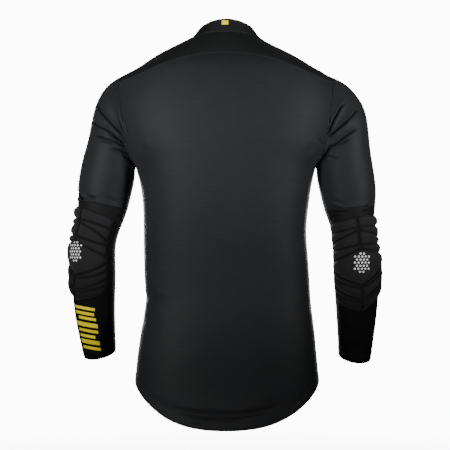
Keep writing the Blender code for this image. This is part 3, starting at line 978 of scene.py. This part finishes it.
def spaced(path: np.ndarray, pitch: float) -> tuple[np.ndarray, np.ndarray]:
    """Spaces points evenly along a path.

    Args:
        path: The path's points.
        pitch: The distance between points.

    Returns:
        The points and the path's direction at each.
    """
    steps = np.linalg.norm(np.diff(path, axis=0), axis=1)
    gone = np.concatenate(([0], np.cumsum(steps)))
    count = max(2, int(gone[-1] / pitch))
    spots = (np.arange(count) + 0.5) * gone[-1] / count

    def at(places: np.ndarray) -> np.ndarray:
        """Gives the points at places along the path."""
        return np.stack([np.interp(places, gone, path[:, axis]) for axis in range(3)], axis=1)

    ways = at(spots + pitch) - at(spots - pitch)
    return at(spots), ways / np.linalg.norm(ways, axis=1)[:, None]


class Thread:
    """Stitches of one thread, copied from a single modelled stitch into one piece."""

    def __init__(self, name: str, finish: PlainFinish) -> None:
        """Models the stitch that all are copied from.

        Args:
            name: The name of the piece.
            finish: The thread's finish.
        """
        self.name = name
        self.finish = finish
        self.places: list[np.ndarray] = []
        self.frames: list[np.ndarray] = []
        deselect_all()
        bpy.ops.mesh.primitive_uv_sphere_add(segments=6, ring_count=4, radius=1)
        bpy.ops.object.mode_set(mode="EDIT")
        bpy.ops.mesh.select_all(action="SELECT")
        bpy.ops.transform.rotate(value=math.pi / 2, orient_axis="Y", center_override=(0, 0, 0))
        bpy.ops.object.mode_set(mode="OBJECT")
        self.points, self.faces = take_template()

    def sew(self, path: np.ndarray, surface: BVHTree, row: SewnRow) -> None:
        """Adds a row of stitches along a path on a surface.

        Args:
            path: The path's points.
            surface: The surface that the stitches lie on.
            row: The stitches' sizes and lean.
        """
        spots, ways = spaced(path, row.pitch * MM)
        inward = 1.0
        if row.inset:
            inward = self.inward_side(spots[len(spots) // 2], ways[len(spots) // 2], surface)
        for number, (spot, way) in enumerate(zip(spots, ways)):
            _, up, _, _ = surface.find_nearest(Vector(spot))
            side = np.cross(up, way) * inward
            place, up, _, _ = surface.find_nearest(Vector(spot + side * row.inset * MM))
            if place is None:
                continue
            up = np.array(up)
            along = way - up * (way @ up)
            along /= np.linalg.norm(along)
            side = np.cross(up, along)
            angle = math.radians(row.lean) * (1 if number % 2 else -1)
            turned = along * math.cos(angle) + side * math.sin(angle)
            crossed = np.cross(up, turned)
            half = np.array((row.length, row.width, row.width * STITCH_HEIGHT)) / 2 * MM
            self.places.append(np.array(place) + up * half[2] * STITCH_RISE)
            self.frames.append(np.stack((turned * half[0], crossed * half[1], up * half[2])))

    def inward_side(self, spot: np.ndarray, way: np.ndarray, surface: BVHTree) -> float:
        """Finds which side of an edge the cloth is on.

        Args:
            spot: A point on the edge.
            way: The edge's direction there.
            surface: The cloth's surface.

        Returns:
            1 or -1, which turns the cross product of normal and direction inwards.
        """
        _, up, _, _ = surface.find_nearest(Vector(spot))
        side = np.cross(up, way)
        reach = 8 * MM
        misses = [surface.find_nearest(Vector(spot + side * sign * reach))[3] for sign in (1, -1)]
        return 1.0 if misses[0] < misses[1] else -1.0

    def build(self) -> bpy.types.Object:
        """Makes the piece of all its stitches."""
        placed = [self.points @ turned + place for place, turned in zip(self.places, self.frames)]
        piece = join_copies(self.name, self.faces, placed)
        dress(piece, self.finish)
        return piece


# Cloth


@dataclass(frozen=True)
class TurnedEdge:
    """An edge that is turned in and stitched, with its depth and rise in millimetres."""

    rim: Rim
    depth: float
    rise: float = 0.45
    groove: float = 0.5
    groove_width: float = 2.4


# The slow waves that make the cloth a little uneven: the millimetres in one radian along X, Y
# and Z, and the start of the wave in radians
WAVES = ((31, math.inf, 47, 0.0), (-58, math.inf, 26, 1.3), (math.inf, 22, 39, 0.6))


@dataclass
class Cloth:
    """A cut piece of knit cloth, as a thin shell on its CAD wall's outer face."""

    node: str
    finish: KnitFinish
    slot: str
    flat: tuple[float, float]
    flat_area: float
    folds: tuple[Fold, ...] = ()
    turned: TurnedEdge | None = None
    rows: tuple[SewnRow, ...] = ()
    detail: int = 3
    wall: float = 1.4
    seam_dip: float = 0.15
    # The edges reach out this far in millimetres to meet their neighbours
    seam_reach: float = 0.35
    ripple: float = 0.3
    piece: bpy.types.Object = field(init=False, repr=False)
    surface: BVHTree = field(init=False, repr=False)

    def build(self, thread: Thread) -> bpy.types.Object:
        """Args:
            thread: The thread that its stitches are added to.

        Returns:
            The finished shell.
        """
        self.piece = link(self.node + "_cloth", outer_sheet(self.node))
        round_off(self.piece, self.detail)
        self.refine_creases()
        self.press_folds()
        self.close_seams()
        lay_grain(self.piece.data, *self.grain_frame(points_of(self.piece.data)))
        self.surface = tree_of(self.piece)
        self.sew(thread)
        thicken(self.piece, self.wall, -1)
        dress(self.piece, self.finish, sharp=75)
        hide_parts(self.node)
        return self.piece

    def refine_creases(self) -> None:
        """Divides the faces under the narrow folds once more, so that their creases come out crisp."""
        mesh = self.piece.data
        points, normals = points_of(mesh), normals_of(mesh)
        under = np.zeros(len(points), bool)
        for fold in self.folds:
            if fold.width < CRISP_WIDTH:
                under |= np.abs(fold.lift(points, normals)) > CREASE_EDGE
        if not under.any():
            return
        cage = bmesh.new()
        cage.from_mesh(mesh)
        cage.verts.ensure_lookup_table()
        marked = {edge for edge in cage.edges if all(under[v.index] for v in edge.verts)}
        bmesh.ops.subdivide_edges(cage, edges=list(marked), cuts=1, use_grid_fill=True)
        cage.to_mesh(mesh)
        cage.free()
        mesh.update()

    def press_folds(self) -> None:
        """Presses the folds, the seams' dips and a slight unevenness into the sheet, and keeps how deep
        each crease lies for the shade painted in it.
        """
        mesh = self.piece.data
        points, normals = points_of(mesh), normals_of(mesh)
        waves = [np.sin((points / MM / wave[:3]).sum(axis=1) + wave[3]) for wave in WAVES]
        lift = self.ripple * sum(waves) / 2
        crease = np.zeros(len(points))
        for fold in self.folds:
            fold_lift = fold.lift(points, normals)
            lift += fold_lift
            if fold.width < CRISP_WIDTH:
                crease = np.maximum(crease, -fold_lift / CREASE_FULL)
        # How deep each narrow crease lies sets the shade painted into it
        marks = np.clip(crease, 0, 1).astype(np.float32)
        mesh.attributes.new(PAINTED_SHADE_MASK, "FLOAT", "POINT").data.foreach_set("value", marks)
        runs = rim_runs(mesh)
        lift[np.unique(np.concatenate(runs))] -= self.seam_dip
        if self.turned:
            lift += self.edge_lift(points, points[pick_run(runs, points, self.turned.rim)])
        move_points(mesh, points + normals * (lift * MM)[:, None])

    def close_seams(self) -> None:
        """Reaches the cloth's edges out over its seams, so that no light shows through them."""
        mesh = self.piece.data
        points, normals = points_of(mesh), normals_of(mesh)
        ends = edge_ends(mesh)
        valence = np.bincount(ends.ravel(), minlength=len(points))
        on_rim = np.zeros(len(points), bool)
        on_rim[np.concatenate(rim_runs(mesh))] = True
        outward = np.zeros_like(points)
        for here, there in ((ends[:, 0], ends[:, 1]), (ends[:, 1], ends[:, 0])):
            # A corner has no neighbour inside the cloth, so it reaches away from both on the rim
            used = on_rim[here] & (~on_rim[there] | (valence[here] == 2))
            way = points[here[used]] - points[there[used]]
            way /= np.linalg.norm(way, axis=1)[:, None]
            np.add.at(outward, here[used], way)
        outward -= normals * (outward * normals).sum(axis=1)[:, None]
        length = np.linalg.norm(outward, axis=1)
        moved = length > 1e-6
        points[moved] += outward[moved] / length[moved, None] * self.seam_reach * MM
        move_points(mesh, points)

    def edge_lift(self, points: np.ndarray, edge: np.ndarray) -> np.ndarray:
        """Raises a turned edge, down to a groove along its stitches.

        Args:
            points: The sheet's points.
            edge: The points along the edge.

        Returns:
            The lift of each point in millimetres.
        """
        past = distances(points, edge) - self.turned.depth
        band = self.turned.rise * smooth_step((1.5 - past) / 3)
        return band - self.turned.groove * np.exp(-((past / self.turned.groove_width) ** 2))

    def sew(self, thread: Thread) -> None:
        """Sews the rows of stitches along the piece's edges.

        Args:
            thread: The thread that they are added to.
        """
        mesh = self.piece.data
        points, runs = points_of(mesh), rim_runs(mesh)
        for row in self.rows:
            thread.sew(points[pick_run(runs, points, row.rim)], self.surface, row)

    def grain_frame(self, points: np.ndarray) -> tuple[np.ndarray, np.ndarray, float]:
        """Works out the grain round the body.

        Args:
            points: Points on the cloth.

        Returns:
            Each point's turn and its place along the grain, and the metres in one radian.
        """
        facing = 1 if points[:, 1].mean() > 0 else -1
        half_width, half_depth, radius = 0.165, 0.105, 0.135
        turn = np.arctan2(points[:, 0] / half_width, facing * points[:, 1] / half_depth)
        return turn, points[:, 2], radius


def lay_grain(mesh: bpy.types.Mesh, turn: np.ndarray, along: np.ndarray, radius: float) -> None:
    """Writes a cloth's grain to a UV map, in metres round and along it.

    Args:
        mesh: The mesh.
        turn: Each point's turn, in radians.
        along: Each point's place along the cloth.
        radius: The metres in one radian.
    """
    grain = mesh.uv_layers.new(name=GRAIN)
    corners = np.empty(len(mesh.loops), int)
    mesh.loops.foreach_get("vertex_index", corners)
    counts = np.empty(len(mesh.polygons), int)
    mesh.polygons.foreach_get("loop_total", counts)
    starts = np.concatenate(([0], np.cumsum(counts)[:-1]))
    turns = turn[corners]
    # A face that crosses the line where the turn starts again is kept whole
    turns -= np.round((turns - np.repeat(turns[starts], counts)) / math.tau) * math.tau
    flat = np.stack((turns * radius, along[corners]), axis=1).astype(np.float32)
    grain.data.foreach_set("uv", flat.ravel())


def tube_grain(points: np.ndarray) -> tuple[np.ndarray, np.ndarray, float]:
    """Works out the grain round a line through a tube's two ends.

    Args:
        points: Points on the tube.

    Returns:
        Each point's turn and its place along the tube, and the metres in one radian.
    """
    heights = points[:, 2]
    share = 0.15 * (heights.max() - heights.min())
    top = points[heights > heights.max() - share].mean(axis=0)
    bottom = points[heights < heights.min() + share].mean(axis=0)
    axis = (top - bottom) / np.linalg.norm(top - bottom)
    side = np.cross(axis, (0, 1, 0))
    side /= np.linalg.norm(side)
    ahead = np.cross(side, axis)
    spots = points - bottom
    turn = np.arctan2(spots @ side, spots @ ahead)
    radius = float(np.hypot(spots @ side, spots @ ahead).mean())
    return turn, spots @ axis, radius


UNDERARM_ROW = SewnRow(Rim.LOW, inset=0, pitch=2.4, length=3.4, width=0.4, lean=58)


@dataclass
class Tube(Cloth):
    """Cloth that goes all round, such as a sleeve or a collar."""

    underarm_seam: bool = False

    def grain_frame(self, points: np.ndarray) -> tuple[np.ndarray, np.ndarray, float]:
        """Works out the grain round the tube.

        Args:
            points: Points on the cloth.

        Returns:
            Each point's turn and its place along the tube, and the metres in one radian.
        """
        return tube_grain(points)

    def sew(self, thread: Thread) -> None:
        """Sews the edges, and the seam that closes a sleeve under the arm.

        Args:
            thread: The thread that the stitches are added to.
        """
        super().sew(thread)
        if not self.underarm_seam:
            return
        points, runs = points_of(self.piece.data), rim_runs(self.piece.data)
        top, bottom = (points[pick_run(runs, points, rim)] for rim in (Rim.HIGH, Rim.LOW))
        inner = -math.copysign(1, points[:, 0].mean())
        start, end = (row[(row[:, 0] * inner).argmax()] for row in (top, bottom))
        middle_start, middle_end = top.mean(axis=0), bottom.mean(axis=0)
        seam = []
        for share in np.linspace(0.01, 0.99, 60):
            middle = middle_start + (middle_end - middle_start) * share
            outward = start + (end - start) * share - middle
            spot, _, _, _ = self.surface.ray_cast(Vector(middle), Vector(outward).normalized())
            if spot is not None:
                seam.append(np.array(spot))
        thread.sew(np.array(seam), self.surface, UNDERARM_ROW)


# The elbow pads


# Only the edges across a pad's rim are shorter than this
RIM_EDGE = 1.4 * MM
# A quilted line that is shorter than this isn't sewn
SHORT_LINE = 12 * MM
QUILTED_ROW = SewnRow(Rim.LOW, inset=0, pitch=3.4, length=2.5, width=0.6)


@dataclass
class ElbowPad:
    """A quilted pad of foam under brushed knit, which lies on the lower sleeve."""

    side: str
    finish: KnitFinish = PAD_KNIT
    detail: int = 2
    sewn_crease: float = 1.0
    rim_crease: float = 0.6
    # A pad is this thick along its stitches, and thinner only at its rim
    sewn_thickness: float = 2.05
    # Over 1, so that the shade painted in the grooves has a floor of even colour
    groove_floor: float = 1.7
    groove_width: float = 3.0
    # The foam is fuller between its stitches than the plain solid says
    puff: float = 1.5
    puff_width: float = 8.0
    piece: bpy.types.Object = field(init=False, repr=False)
    surface: BVHTree = field(init=False, repr=False)

    @property
    def node(self) -> str:
        """The CAD node of the pad."""
        return "elbow_pad_" + self.side

    @property
    def axis(self) -> np.ndarray:
        """The middle of the sleeve that the pad lies on."""
        return np.array([sum(sides) / 2 for sides in zip(*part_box("sleeve_lower_" + self.side))])

    def build(self, thread: Thread) -> bpy.types.Object:
        """Args:
            thread: The thread that its stitches are added to.

        Returns:
            The finished pad.
        """
        cage = merged_copy(self.node)
        join_to_quads(cage)
        self.crease(cage)
        self.piece = link(self.node + "_quilted", mesh_from(cage, self.node))
        round_off(self.piece, self.detail)
        lay_grain(self.piece.data, *tube_grain(points_of(self.piece.data)))
        paths = self.sewn_paths()
        self.mark_grooves(paths)
        self.surface = tree_of(self.piece)
        for path in paths:
            thread.sew(path, self.surface, QUILTED_ROW)
        dress(self.piece, self.finish, sharp=80)
        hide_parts(self.node)
        return self.piece

    def crease(self, cage: bmesh.types.BMesh) -> None:
        """Holds the sewn lines and the rim sharp.

        Args:
            cage: The pad's coarse mesh.
        """
        inner, outer = self.two_faces(cage)
        thickness = distances([v.co for v in outer], [v.co for v in inner])
        sewn = {v for v, thick in zip(outer, thickness) if thick < self.sewn_thickness}
        layer = cage.edges.layers.float.new("crease_edge")
        for edge in cage.edges:
            if edge.calc_length() < RIM_EDGE:
                edge[layer] = self.rim_crease
            elif all(v in sewn for v in edge.verts):
                edge[layer] = self.sewn_crease

    def two_faces(
        self, cage: bmesh.types.BMesh
    ) -> tuple[list[bmesh.types.BMVert], list[bmesh.types.BMVert]]:
        """Tells the face on the sleeve from the face that shows.

        Args:
            cage: The pad's coarse mesh.

        Returns:
            The points of the inner face and of the outer one.
        """
        axis = Vector(self.axis)
        cage.normal_update()
        inner, outer = [], []
        for vert in cage.verts:
            away = vert.co - axis
            away.z = 0
            (outer if vert.normal.dot(away) > 0 else inner).append(vert)
        return inner, outer

    def sewn_paths(self) -> list[np.ndarray]:
        """Follows the quilted lines.

        Returns:
            The points of each line, from one crossing or end to the next.
        """
        mesh = self.piece.data
        points = points_of(mesh)
        sharp = np.empty(len(mesh.edges), np.float32)
        mesh.attributes["crease_edge"].data.foreach_get("value", sharp)
        paths = [points[chain] for chain in chains(edge_ends(mesh)[sharp > 0.9])]
        lengths = [np.linalg.norm(np.diff(path, axis=0), axis=1).sum() for path in paths]
        return [path for path, length in zip(paths, lengths) if length > SHORT_LINE]

    def mark_grooves(self, paths: list[np.ndarray]) -> None:
        """Puffs the foam up between the sewn lines, and keeps how near each point is to them for the
        shade painted in the grooves.

        Args:
            paths: The sewn lines.
        """
        line = np.concatenate([spaced(path, 1.0 * MM)[0] for path in paths])
        mesh = self.piece.data
        points, normals = points_of(mesh), normals_of(mesh)
        away = distances(points, line)
        # How near each point is to a sewn line sets the shade painted in the groove
        near = np.minimum(1, self.groove_floor * np.exp(-((away / self.groove_width) ** 2)))
        mesh.attributes.new(PAINTED_SHADE_MASK, "FLOAT", "POINT").data.foreach_set("value", near.astype(np.float32))
        # The pad's inner face and its rim stay where they are
        outward = points - self.axis
        outward[:, 2] = 0
        outward /= np.linalg.norm(outward, axis=1)[:, None]
        faces_out = smooth_step(((normals * outward).sum(axis=1) - 0.1) / 0.5)
        puff = self.puff * smooth_step((away - 0.5) / self.puff_width) * faces_out
        move_points(mesh, points + normals * (puff * MM)[:, None])


# Prints


# A print is aimed at the cloth from this far away, which is well clear of it
CLEAR = 0.2


@dataclass(frozen=True)
class Spot:
    """A place on the shirt to print on: where it is looked at from, and which way it faces.

    The aim is a point in steps as seen from behind. A turn of 0 degrees looks at the back, and 90
    at the wearer's left.
    """

    steps: tuple[float, float]
    depth: float = 0.0
    turn: float = 0.0

    def frame(self) -> tuple[np.ndarray, np.ndarray, np.ndarray, np.ndarray]:
        """Works out the flat frame that a print is drawn in.

        Returns:
            A point well clear of the cloth, the directions across and up, and the way inwards.
        """
        away = np.array((math.sin(math.radians(self.turn)), math.cos(math.radians(self.turn)), 0))
        across = np.array((-away[1], away[0], 0))
        middle = np.array(
            ((CENTRE_STEP - self.steps[0]) * STEP, self.depth * MM, (TOP_STEP - self.steps[1]) * STEP)
        )
        return middle + away * CLEAR, across, np.array((0, 0, 1.0)), -away


def on_surface(
    spot: Spot, surface: BVHTree, across: float, up: float
) -> tuple[np.ndarray, np.ndarray] | None:
    """Drops a point of a print on the cloth.

    Args:
        spot: The print's place.
        surface: The cloth's surface.
        across: Millimetres across from the spot.
        up: Millimetres up from it.

    Returns:
        The point on the cloth and the normal there, or nothing where it misses.
    """
    start, right, rise, inwards = spot.frame()
    origin = Vector(start + (right * across + rise * up) * MM)
    place, normal, _, _ = surface.ray_cast(origin, Vector(inwards))
    return None if place is None else (np.array(place), np.array(normal))


@dataclass
class GripDots:
    """A field of small round silicone dots on the cap of an elbow pad, in millimetres."""

    name: str
    spot: Spot
    surface: BVHTree
    diameter: float = 4.4
    height: float = 0.7
    pitch: float = 6.6
    half_width: float = 17.0
    half_height: float = 20.0

    def build(self) -> bpy.types.Object:
        """Builds the dots from one that is modelled and copied.

        Returns:
            The piece with all the dots.
        """
        deselect_all()
        bpy.ops.mesh.primitive_uv_sphere_add(segments=12, ring_count=6, radius=1)
        bpy.ops.object.mode_set(mode="EDIT")
        bpy.ops.mesh.select_all(action="SELECT")
        bpy.ops.mesh.bisect(plane_co=(0, 0, -0.2), plane_no=(0, 0, 1), clear_inner=True, use_fill=True)
        bpy.ops.object.mode_set(mode="OBJECT")
        shape, faces = take_template()
        shape = shape * np.array((self.diameter / 2, self.diameter / 2, self.height)) * MM
        dots = []
        for across, up in self.places():
            hit = on_surface(self.spot, self.surface, across, up)
            if hit is not None:
                turn = Vector((0, 0, 1)).rotation_difference(Vector(hit[1])).to_matrix()
                dots.append(shape @ np.array(turn).T + hit[0])
        piece = join_copies(self.name, faces, dots)
        dress(piece, WHITE_GRIP)
        return piece

    def places(self) -> list[tuple[float, float]]:
        """Lists the dots' places, in staggered rows inside an oval.

        Returns:
            Millimetres across and up from the middle.
        """
        row_pitch = self.pitch * math.sqrt(3) / 2
        columns = 8
        rows = int(self.half_height / row_pitch) + 1
        places = []
        for row in range(-rows, rows + 1):
            shift = self.pitch / 2 if row % 2 else 0.0
            for column in range(-columns, columns + 1):
                across, up = column * self.pitch + shift, row * row_pitch
                if (across / self.half_width) ** 2 + (up / self.half_height) ** 2 <= 1:
                    places.append((across, up))
        return places


@dataclass(frozen=True)
class Bar:
    """A printed bar: its middle, length, height and slant, in millimetres and degrees."""

    across: float
    up: float
    length: float
    height: float
    slant: float = 0.0


@dataclass
class PrintedBars:
    """Plain bars of heat-transfer film, which follow the cloth that they are pressed on."""

    name: str
    spot: Spot
    surface: BVHTree
    bars: tuple[Bar, ...]
    film: float = 0.3
    seat: float = 0.15

    def build(self) -> bpy.types.Object:
        """Builds the bars.

        Returns:
            The piece with all the bars.
        """
        deselect_all()
        columns, rows = 24, 6
        bpy.ops.mesh.primitive_grid_add(x_subdivisions=columns, y_subdivisions=rows, size=1)
        shape, faces = take_template()
        draped = [self.draped(bar, shape) for bar in self.bars]
        piece = join_copies(self.name, faces, [bar for bar in draped if bar is not None])
        if np.array(piece.data.polygons[0].normal) @ self.spot.frame()[3] > 0:
            piece.data.flip_normals()
        thicken(piece, self.film, 0)
        dress(piece, YELLOW_PRINT, sharp=50)
        return piece

    def draped(self, bar: Bar, shape: np.ndarray) -> np.ndarray | None:
        """Lays one bar on the cloth.

        Args:
            bar: The bar.
            shape: The points of a flat grid, one step wide and high.

        Returns:
            The bar's points, or nothing where it runs off the cloth.
        """
        slope = math.tan(math.radians(bar.slant))
        placed = []
        for x, y, _ in shape:
            across = bar.across + x * bar.length
            up = bar.up + y * bar.height + x * bar.length * slope
            hit = on_surface(self.spot, self.surface, across, up)
            if hit is None:
                log.warning("%s runs off the cloth", self.name)
                return None
            placed.append(hit[0] + hit[1] * self.seat * MM)
        return np.array(placed)


# The scene


@dataclass(frozen=True)
class SoftBox:
    """A soft box: where it hangs, what it faces, its width and height, power and spread."""

    name: str
    place: tuple[float, float, float]
    aim: tuple[float, float, float]
    size: tuple[float, float]
    power: float
    spread: float = 180.0

    def build(self) -> None:
        """Hangs the light."""
        data = bpy.data.lights.new(self.name, "AREA")
        data.shape = "RECTANGLE"
        data.size, data.size_y = self.size
        data.energy = self.power
        data.spread = math.radians(self.spread)
        light = bpy.data.objects.new(self.name, data)
        light.location = self.place
        way = Vector(self.aim) - Vector(self.place)
        light.rotation_euler = way.to_track_quat("-Z", "Y").to_euler()
        bpy.context.scene.collection.objects.link(light)


# Soft boxes light the shoulders from both sides of the camera, the stronger on its left, with a
# weak fill from the middle. Their grids let the light fall off towards the hem, where a narrow
# strip lifts the stitched edge and another the left flank. Two more light the front.
SOFT_BOXES = (
    SoftBox("back_left_box", (1.55, 1.95, 0.08), (0.14, 0.0, -0.16), (0.4, 0.5), 2.4, 30),
    SoftBox("back_right_box", (-2.0, 1.35, 0.08), (-0.18, 0.0, -0.13), (0.4, 0.5), 1.7, 27),
    SoftBox("back_fill", (-0.1, 3.3, 0.0), (-0.02, 0.0, -0.13), (0.6, 0.5), 0.5, 21),
    SoftBox("hem_strip", (0.35, 1.3, -0.74), (-0.01, 0.1, -0.75), (0.4, 0.06), 0.045, 12),
    SoftBox("flank_strip", (1.1, 0.8, -0.6), (0.13, 0.05, -0.62), (0.3, 0.3), 0.075, 18),
    SoftBox("front_left_box", (0.8, -2.5, -0.1), (0.0, 0.0, -0.2), (0.9, 0.9), 4.6, 46),
    SoftBox("front_right_box", (-0.8, -2.5, -0.1), (0.0, 0.0, -0.2), (0.9, 0.9), 3.4, 46),
)


@dataclass
class Studio:
    """A pale floor, soft light and the photograph's camera."""

    view_angle: float = 16.22
    floor_height: float = -0.98
    floor_radius: float = 2.2
    dim: float = 0.012
    white: float = 12.0

    def build(self) -> None:
        """Builds the floor, the lights and the camera."""
        self.lay_floor()
        for box in SOFT_BOXES:
            box.build()
        self.light_world()
        self.place_camera()

    def lay_floor(self) -> None:
        """Lays a round floor."""
        deselect_all()
        bpy.ops.mesh.primitive_circle_add(
            vertices=96, radius=self.floor_radius, fill_type="NGON", location=(0, 0, self.floor_height)
        )
        floor = bpy.context.active_object
        floor.name = "floor"
        floor.data.materials.append(FloorFinish().build())

    def light_world(self) -> None:
        """Surrounds the shirt with a dim, even light, and shows white behind it."""
        world = bpy.data.worlds.new("studio")
        world.use_nodes = True
        tree = world.node_tree
        tree.nodes.clear()
        kind = "ShaderNodeBackground"
        dim = add_node(tree, kind, None, {"Color": linear("#ffffff"), "Strength": self.dim})
        white = add_node(tree, kind, None, {"Color": linear("#ffffff"), "Strength": self.white})
        seen = add_node(tree, "ShaderNodeLightPath").outputs["Is Camera Ray"]
        mix = add_node(tree, "ShaderNodeMixShader", None, None, {"Fac": seen})
        tree.links.new(dim.outputs[0], mix.inputs[1])
        tree.links.new(white.outputs[0], mix.inputs[2])
        output = add_node(tree, "ShaderNodeOutputWorld")
        tree.links.new(mix.outputs[0], output.inputs["Surface"])
        bpy.context.scene.world = world

    def place_camera(self) -> None:
        """Places the camera square to the back."""
        data = bpy.data.cameras.new("camera")
        data.sensor_width = 36
        data.lens = data.sensor_width / 2 / math.tan(math.radians(self.view_angle / 2))
        camera = bpy.data.objects.new("camera", data)
        camera.location = CAMERA
        camera.rotation_euler = (math.pi / 2, 0, math.pi)
        bpy.context.scene.collection.objects.link(camera)
        bpy.context.scene.camera = camera


HEM_DEPTH = 18.0
CUFF_DEPTH = 20.0
# A seam's edges are overlocked flat, with stitches that lean across it
SEAM_STITCH = {"inset": 1.6, "pitch": 2.4, "length": 3.4, "width": 0.45, "lean": 58.0}


def turned_rows(rim: Rim, depth: float) -> tuple[SewnRow, ...]:
    """Lists the two rows of stitches that hold a turned edge.

    Args:
        rim: The edge.
        depth: How deep it is turned, in millimetres.

    Returns:
        The rows.
    """
    return SewnRow(rim, depth), SewnRow(rim, depth - 4)


def cloth_pieces() -> list[Cloth]:
    """Lists the shirt's cut pieces of cloth.

    Returns:
        The pieces, with the flat size that each was cut to.
    """
    hem = TurnedEdge(Rim.LOW, HEM_DEPTH)
    hem_rows = turned_rows(Rim.LOW, HEM_DEPTH)
    side_rows = (SewnRow(Rim.LEFT, **SEAM_STITCH), SewnRow(Rim.RIGHT, **SEAM_STITCH))
    high_row = SewnRow(Rim.HIGH, **SEAM_STITCH)
    low_row = SewnRow(Rim.LOW, **SEAM_STITCH)
    pieces: list[Cloth] = [
        Cloth(
            "back", BACK_KNIT, "body_knit", (0.46, 0.70), 0.258, BACK_FOLDS, hem,
            hem_rows + side_rows + (high_row,),
        ),
        Cloth("front", BODY_KNIT, "body_knit", (0.46, 0.69), 0.262, FRONT_FOLDS, hem, hem_rows),
        Cloth("yoke", YOKE_KNIT, "yoke_knit", (0.46, 0.16), 0.039),
        Tube(
            "collar", YOKE_KNIT, "yoke_knit", (0.36, 0.026), 0.0088, wall=1.8, ripple=0.1,
            rows=(SewnRow(Rim.HIGH, 5), low_row),
        ),
    ]
    for side, upper_folds, lower_folds, upper_area, lower_area in (
        (
            "left",
            LEFT_ARM_DRAG + LEFT_ELBOW_PLEATS,
            LEFT_FOREARM_FOLDS + LEFT_PAD_PLEATS,
            0.053,
            0.070,
        ),
        (
            "right",
            RIGHT_ARM_DRAG + RIGHT_ELBOW_PLEATS,
            RIGHT_FOREARM_FOLDS + RIGHT_PAD_PLEATS,
            0.057,
            0.073,
        ),
    ):
        pieces.append(
            Tube(
                "sleeve_upper_" + side, BODY_KNIT, "body_knit", (0.37, 0.26), upper_area,
                upper_folds + on_the_front(upper_folds, 0.8),
                rows=(high_row, low_row), underarm_seam=True,
            )
        )
        pieces.append(
            Tube(
                "sleeve_lower_" + side, FOREARM_KNIT, "forearm_knit", (0.30, 0.31), lower_area,
                lower_folds + on_the_front(lower_folds, 0.9),
                TurnedEdge(Rim.LOW, CUFF_DEPTH), turned_rows(Rim.LOW, CUFF_DEPTH),
                underarm_seam=True,
            )
        )
    return pieces


# Plain slanted bars of uneven length run down the back of the left forearm
FOREARM_BARS = tuple(
    Bar(*sizes, slant=-9)
    for sizes in (
        (-3, 41, 40, 5.5),
        (-4, 31, 38, 5.5),
        (1, 21, 34, 5.5),
        (-1, 9, 42, 8.0),
        (1, -3, 38, 5.5),
        (-1, -13.5, 30, 5.5),
        (3, -25, 36, 8.0),
        (5, -37, 34, 5.5),
    )
)
COLLAR_BAR = (Bar(0, 0, 12, 8),)


def main() -> None:
    """Builds the shirt's pieces in order, then the studio."""
    logging.basicConfig(level=logging.INFO, format="%(name)s %(message)s")
    thread = Thread("stitches", THREAD)
    pad_thread = Thread("pad_stitches", PAD_THREAD)
    surfaces = {}
    for cloth in cloth_pieces():
        cloth.build(thread)
        surfaces[cloth.node] = cloth.surface
    for side in ("left", "right"):
        pad = ElbowPad(side)
        pad.build(pad_thread)
        surfaces[pad.node] = pad.surface
    thread.build()
    pad_thread.build()
    GripDots("grip_dots_left", Spot((95, 251), 0, 36), surfaces["elbow_pad_left"]).build()
    GripDots("grip_dots_right", Spot((355.5, 262), 0, -8), surfaces["elbow_pad_right"]).build()
    PrintedBars(
        "forearm_bars", Spot((88, 329), 0, 6), surfaces["sleeve_lower_left"], FOREARM_BARS
    ).build()
    PrintedBars("collar_bar", Spot((225, 26), 0, 0), surfaces["collar"], COLLAR_BAR).build()
    Studio().build()


if __name__ == "__main__":
    main()
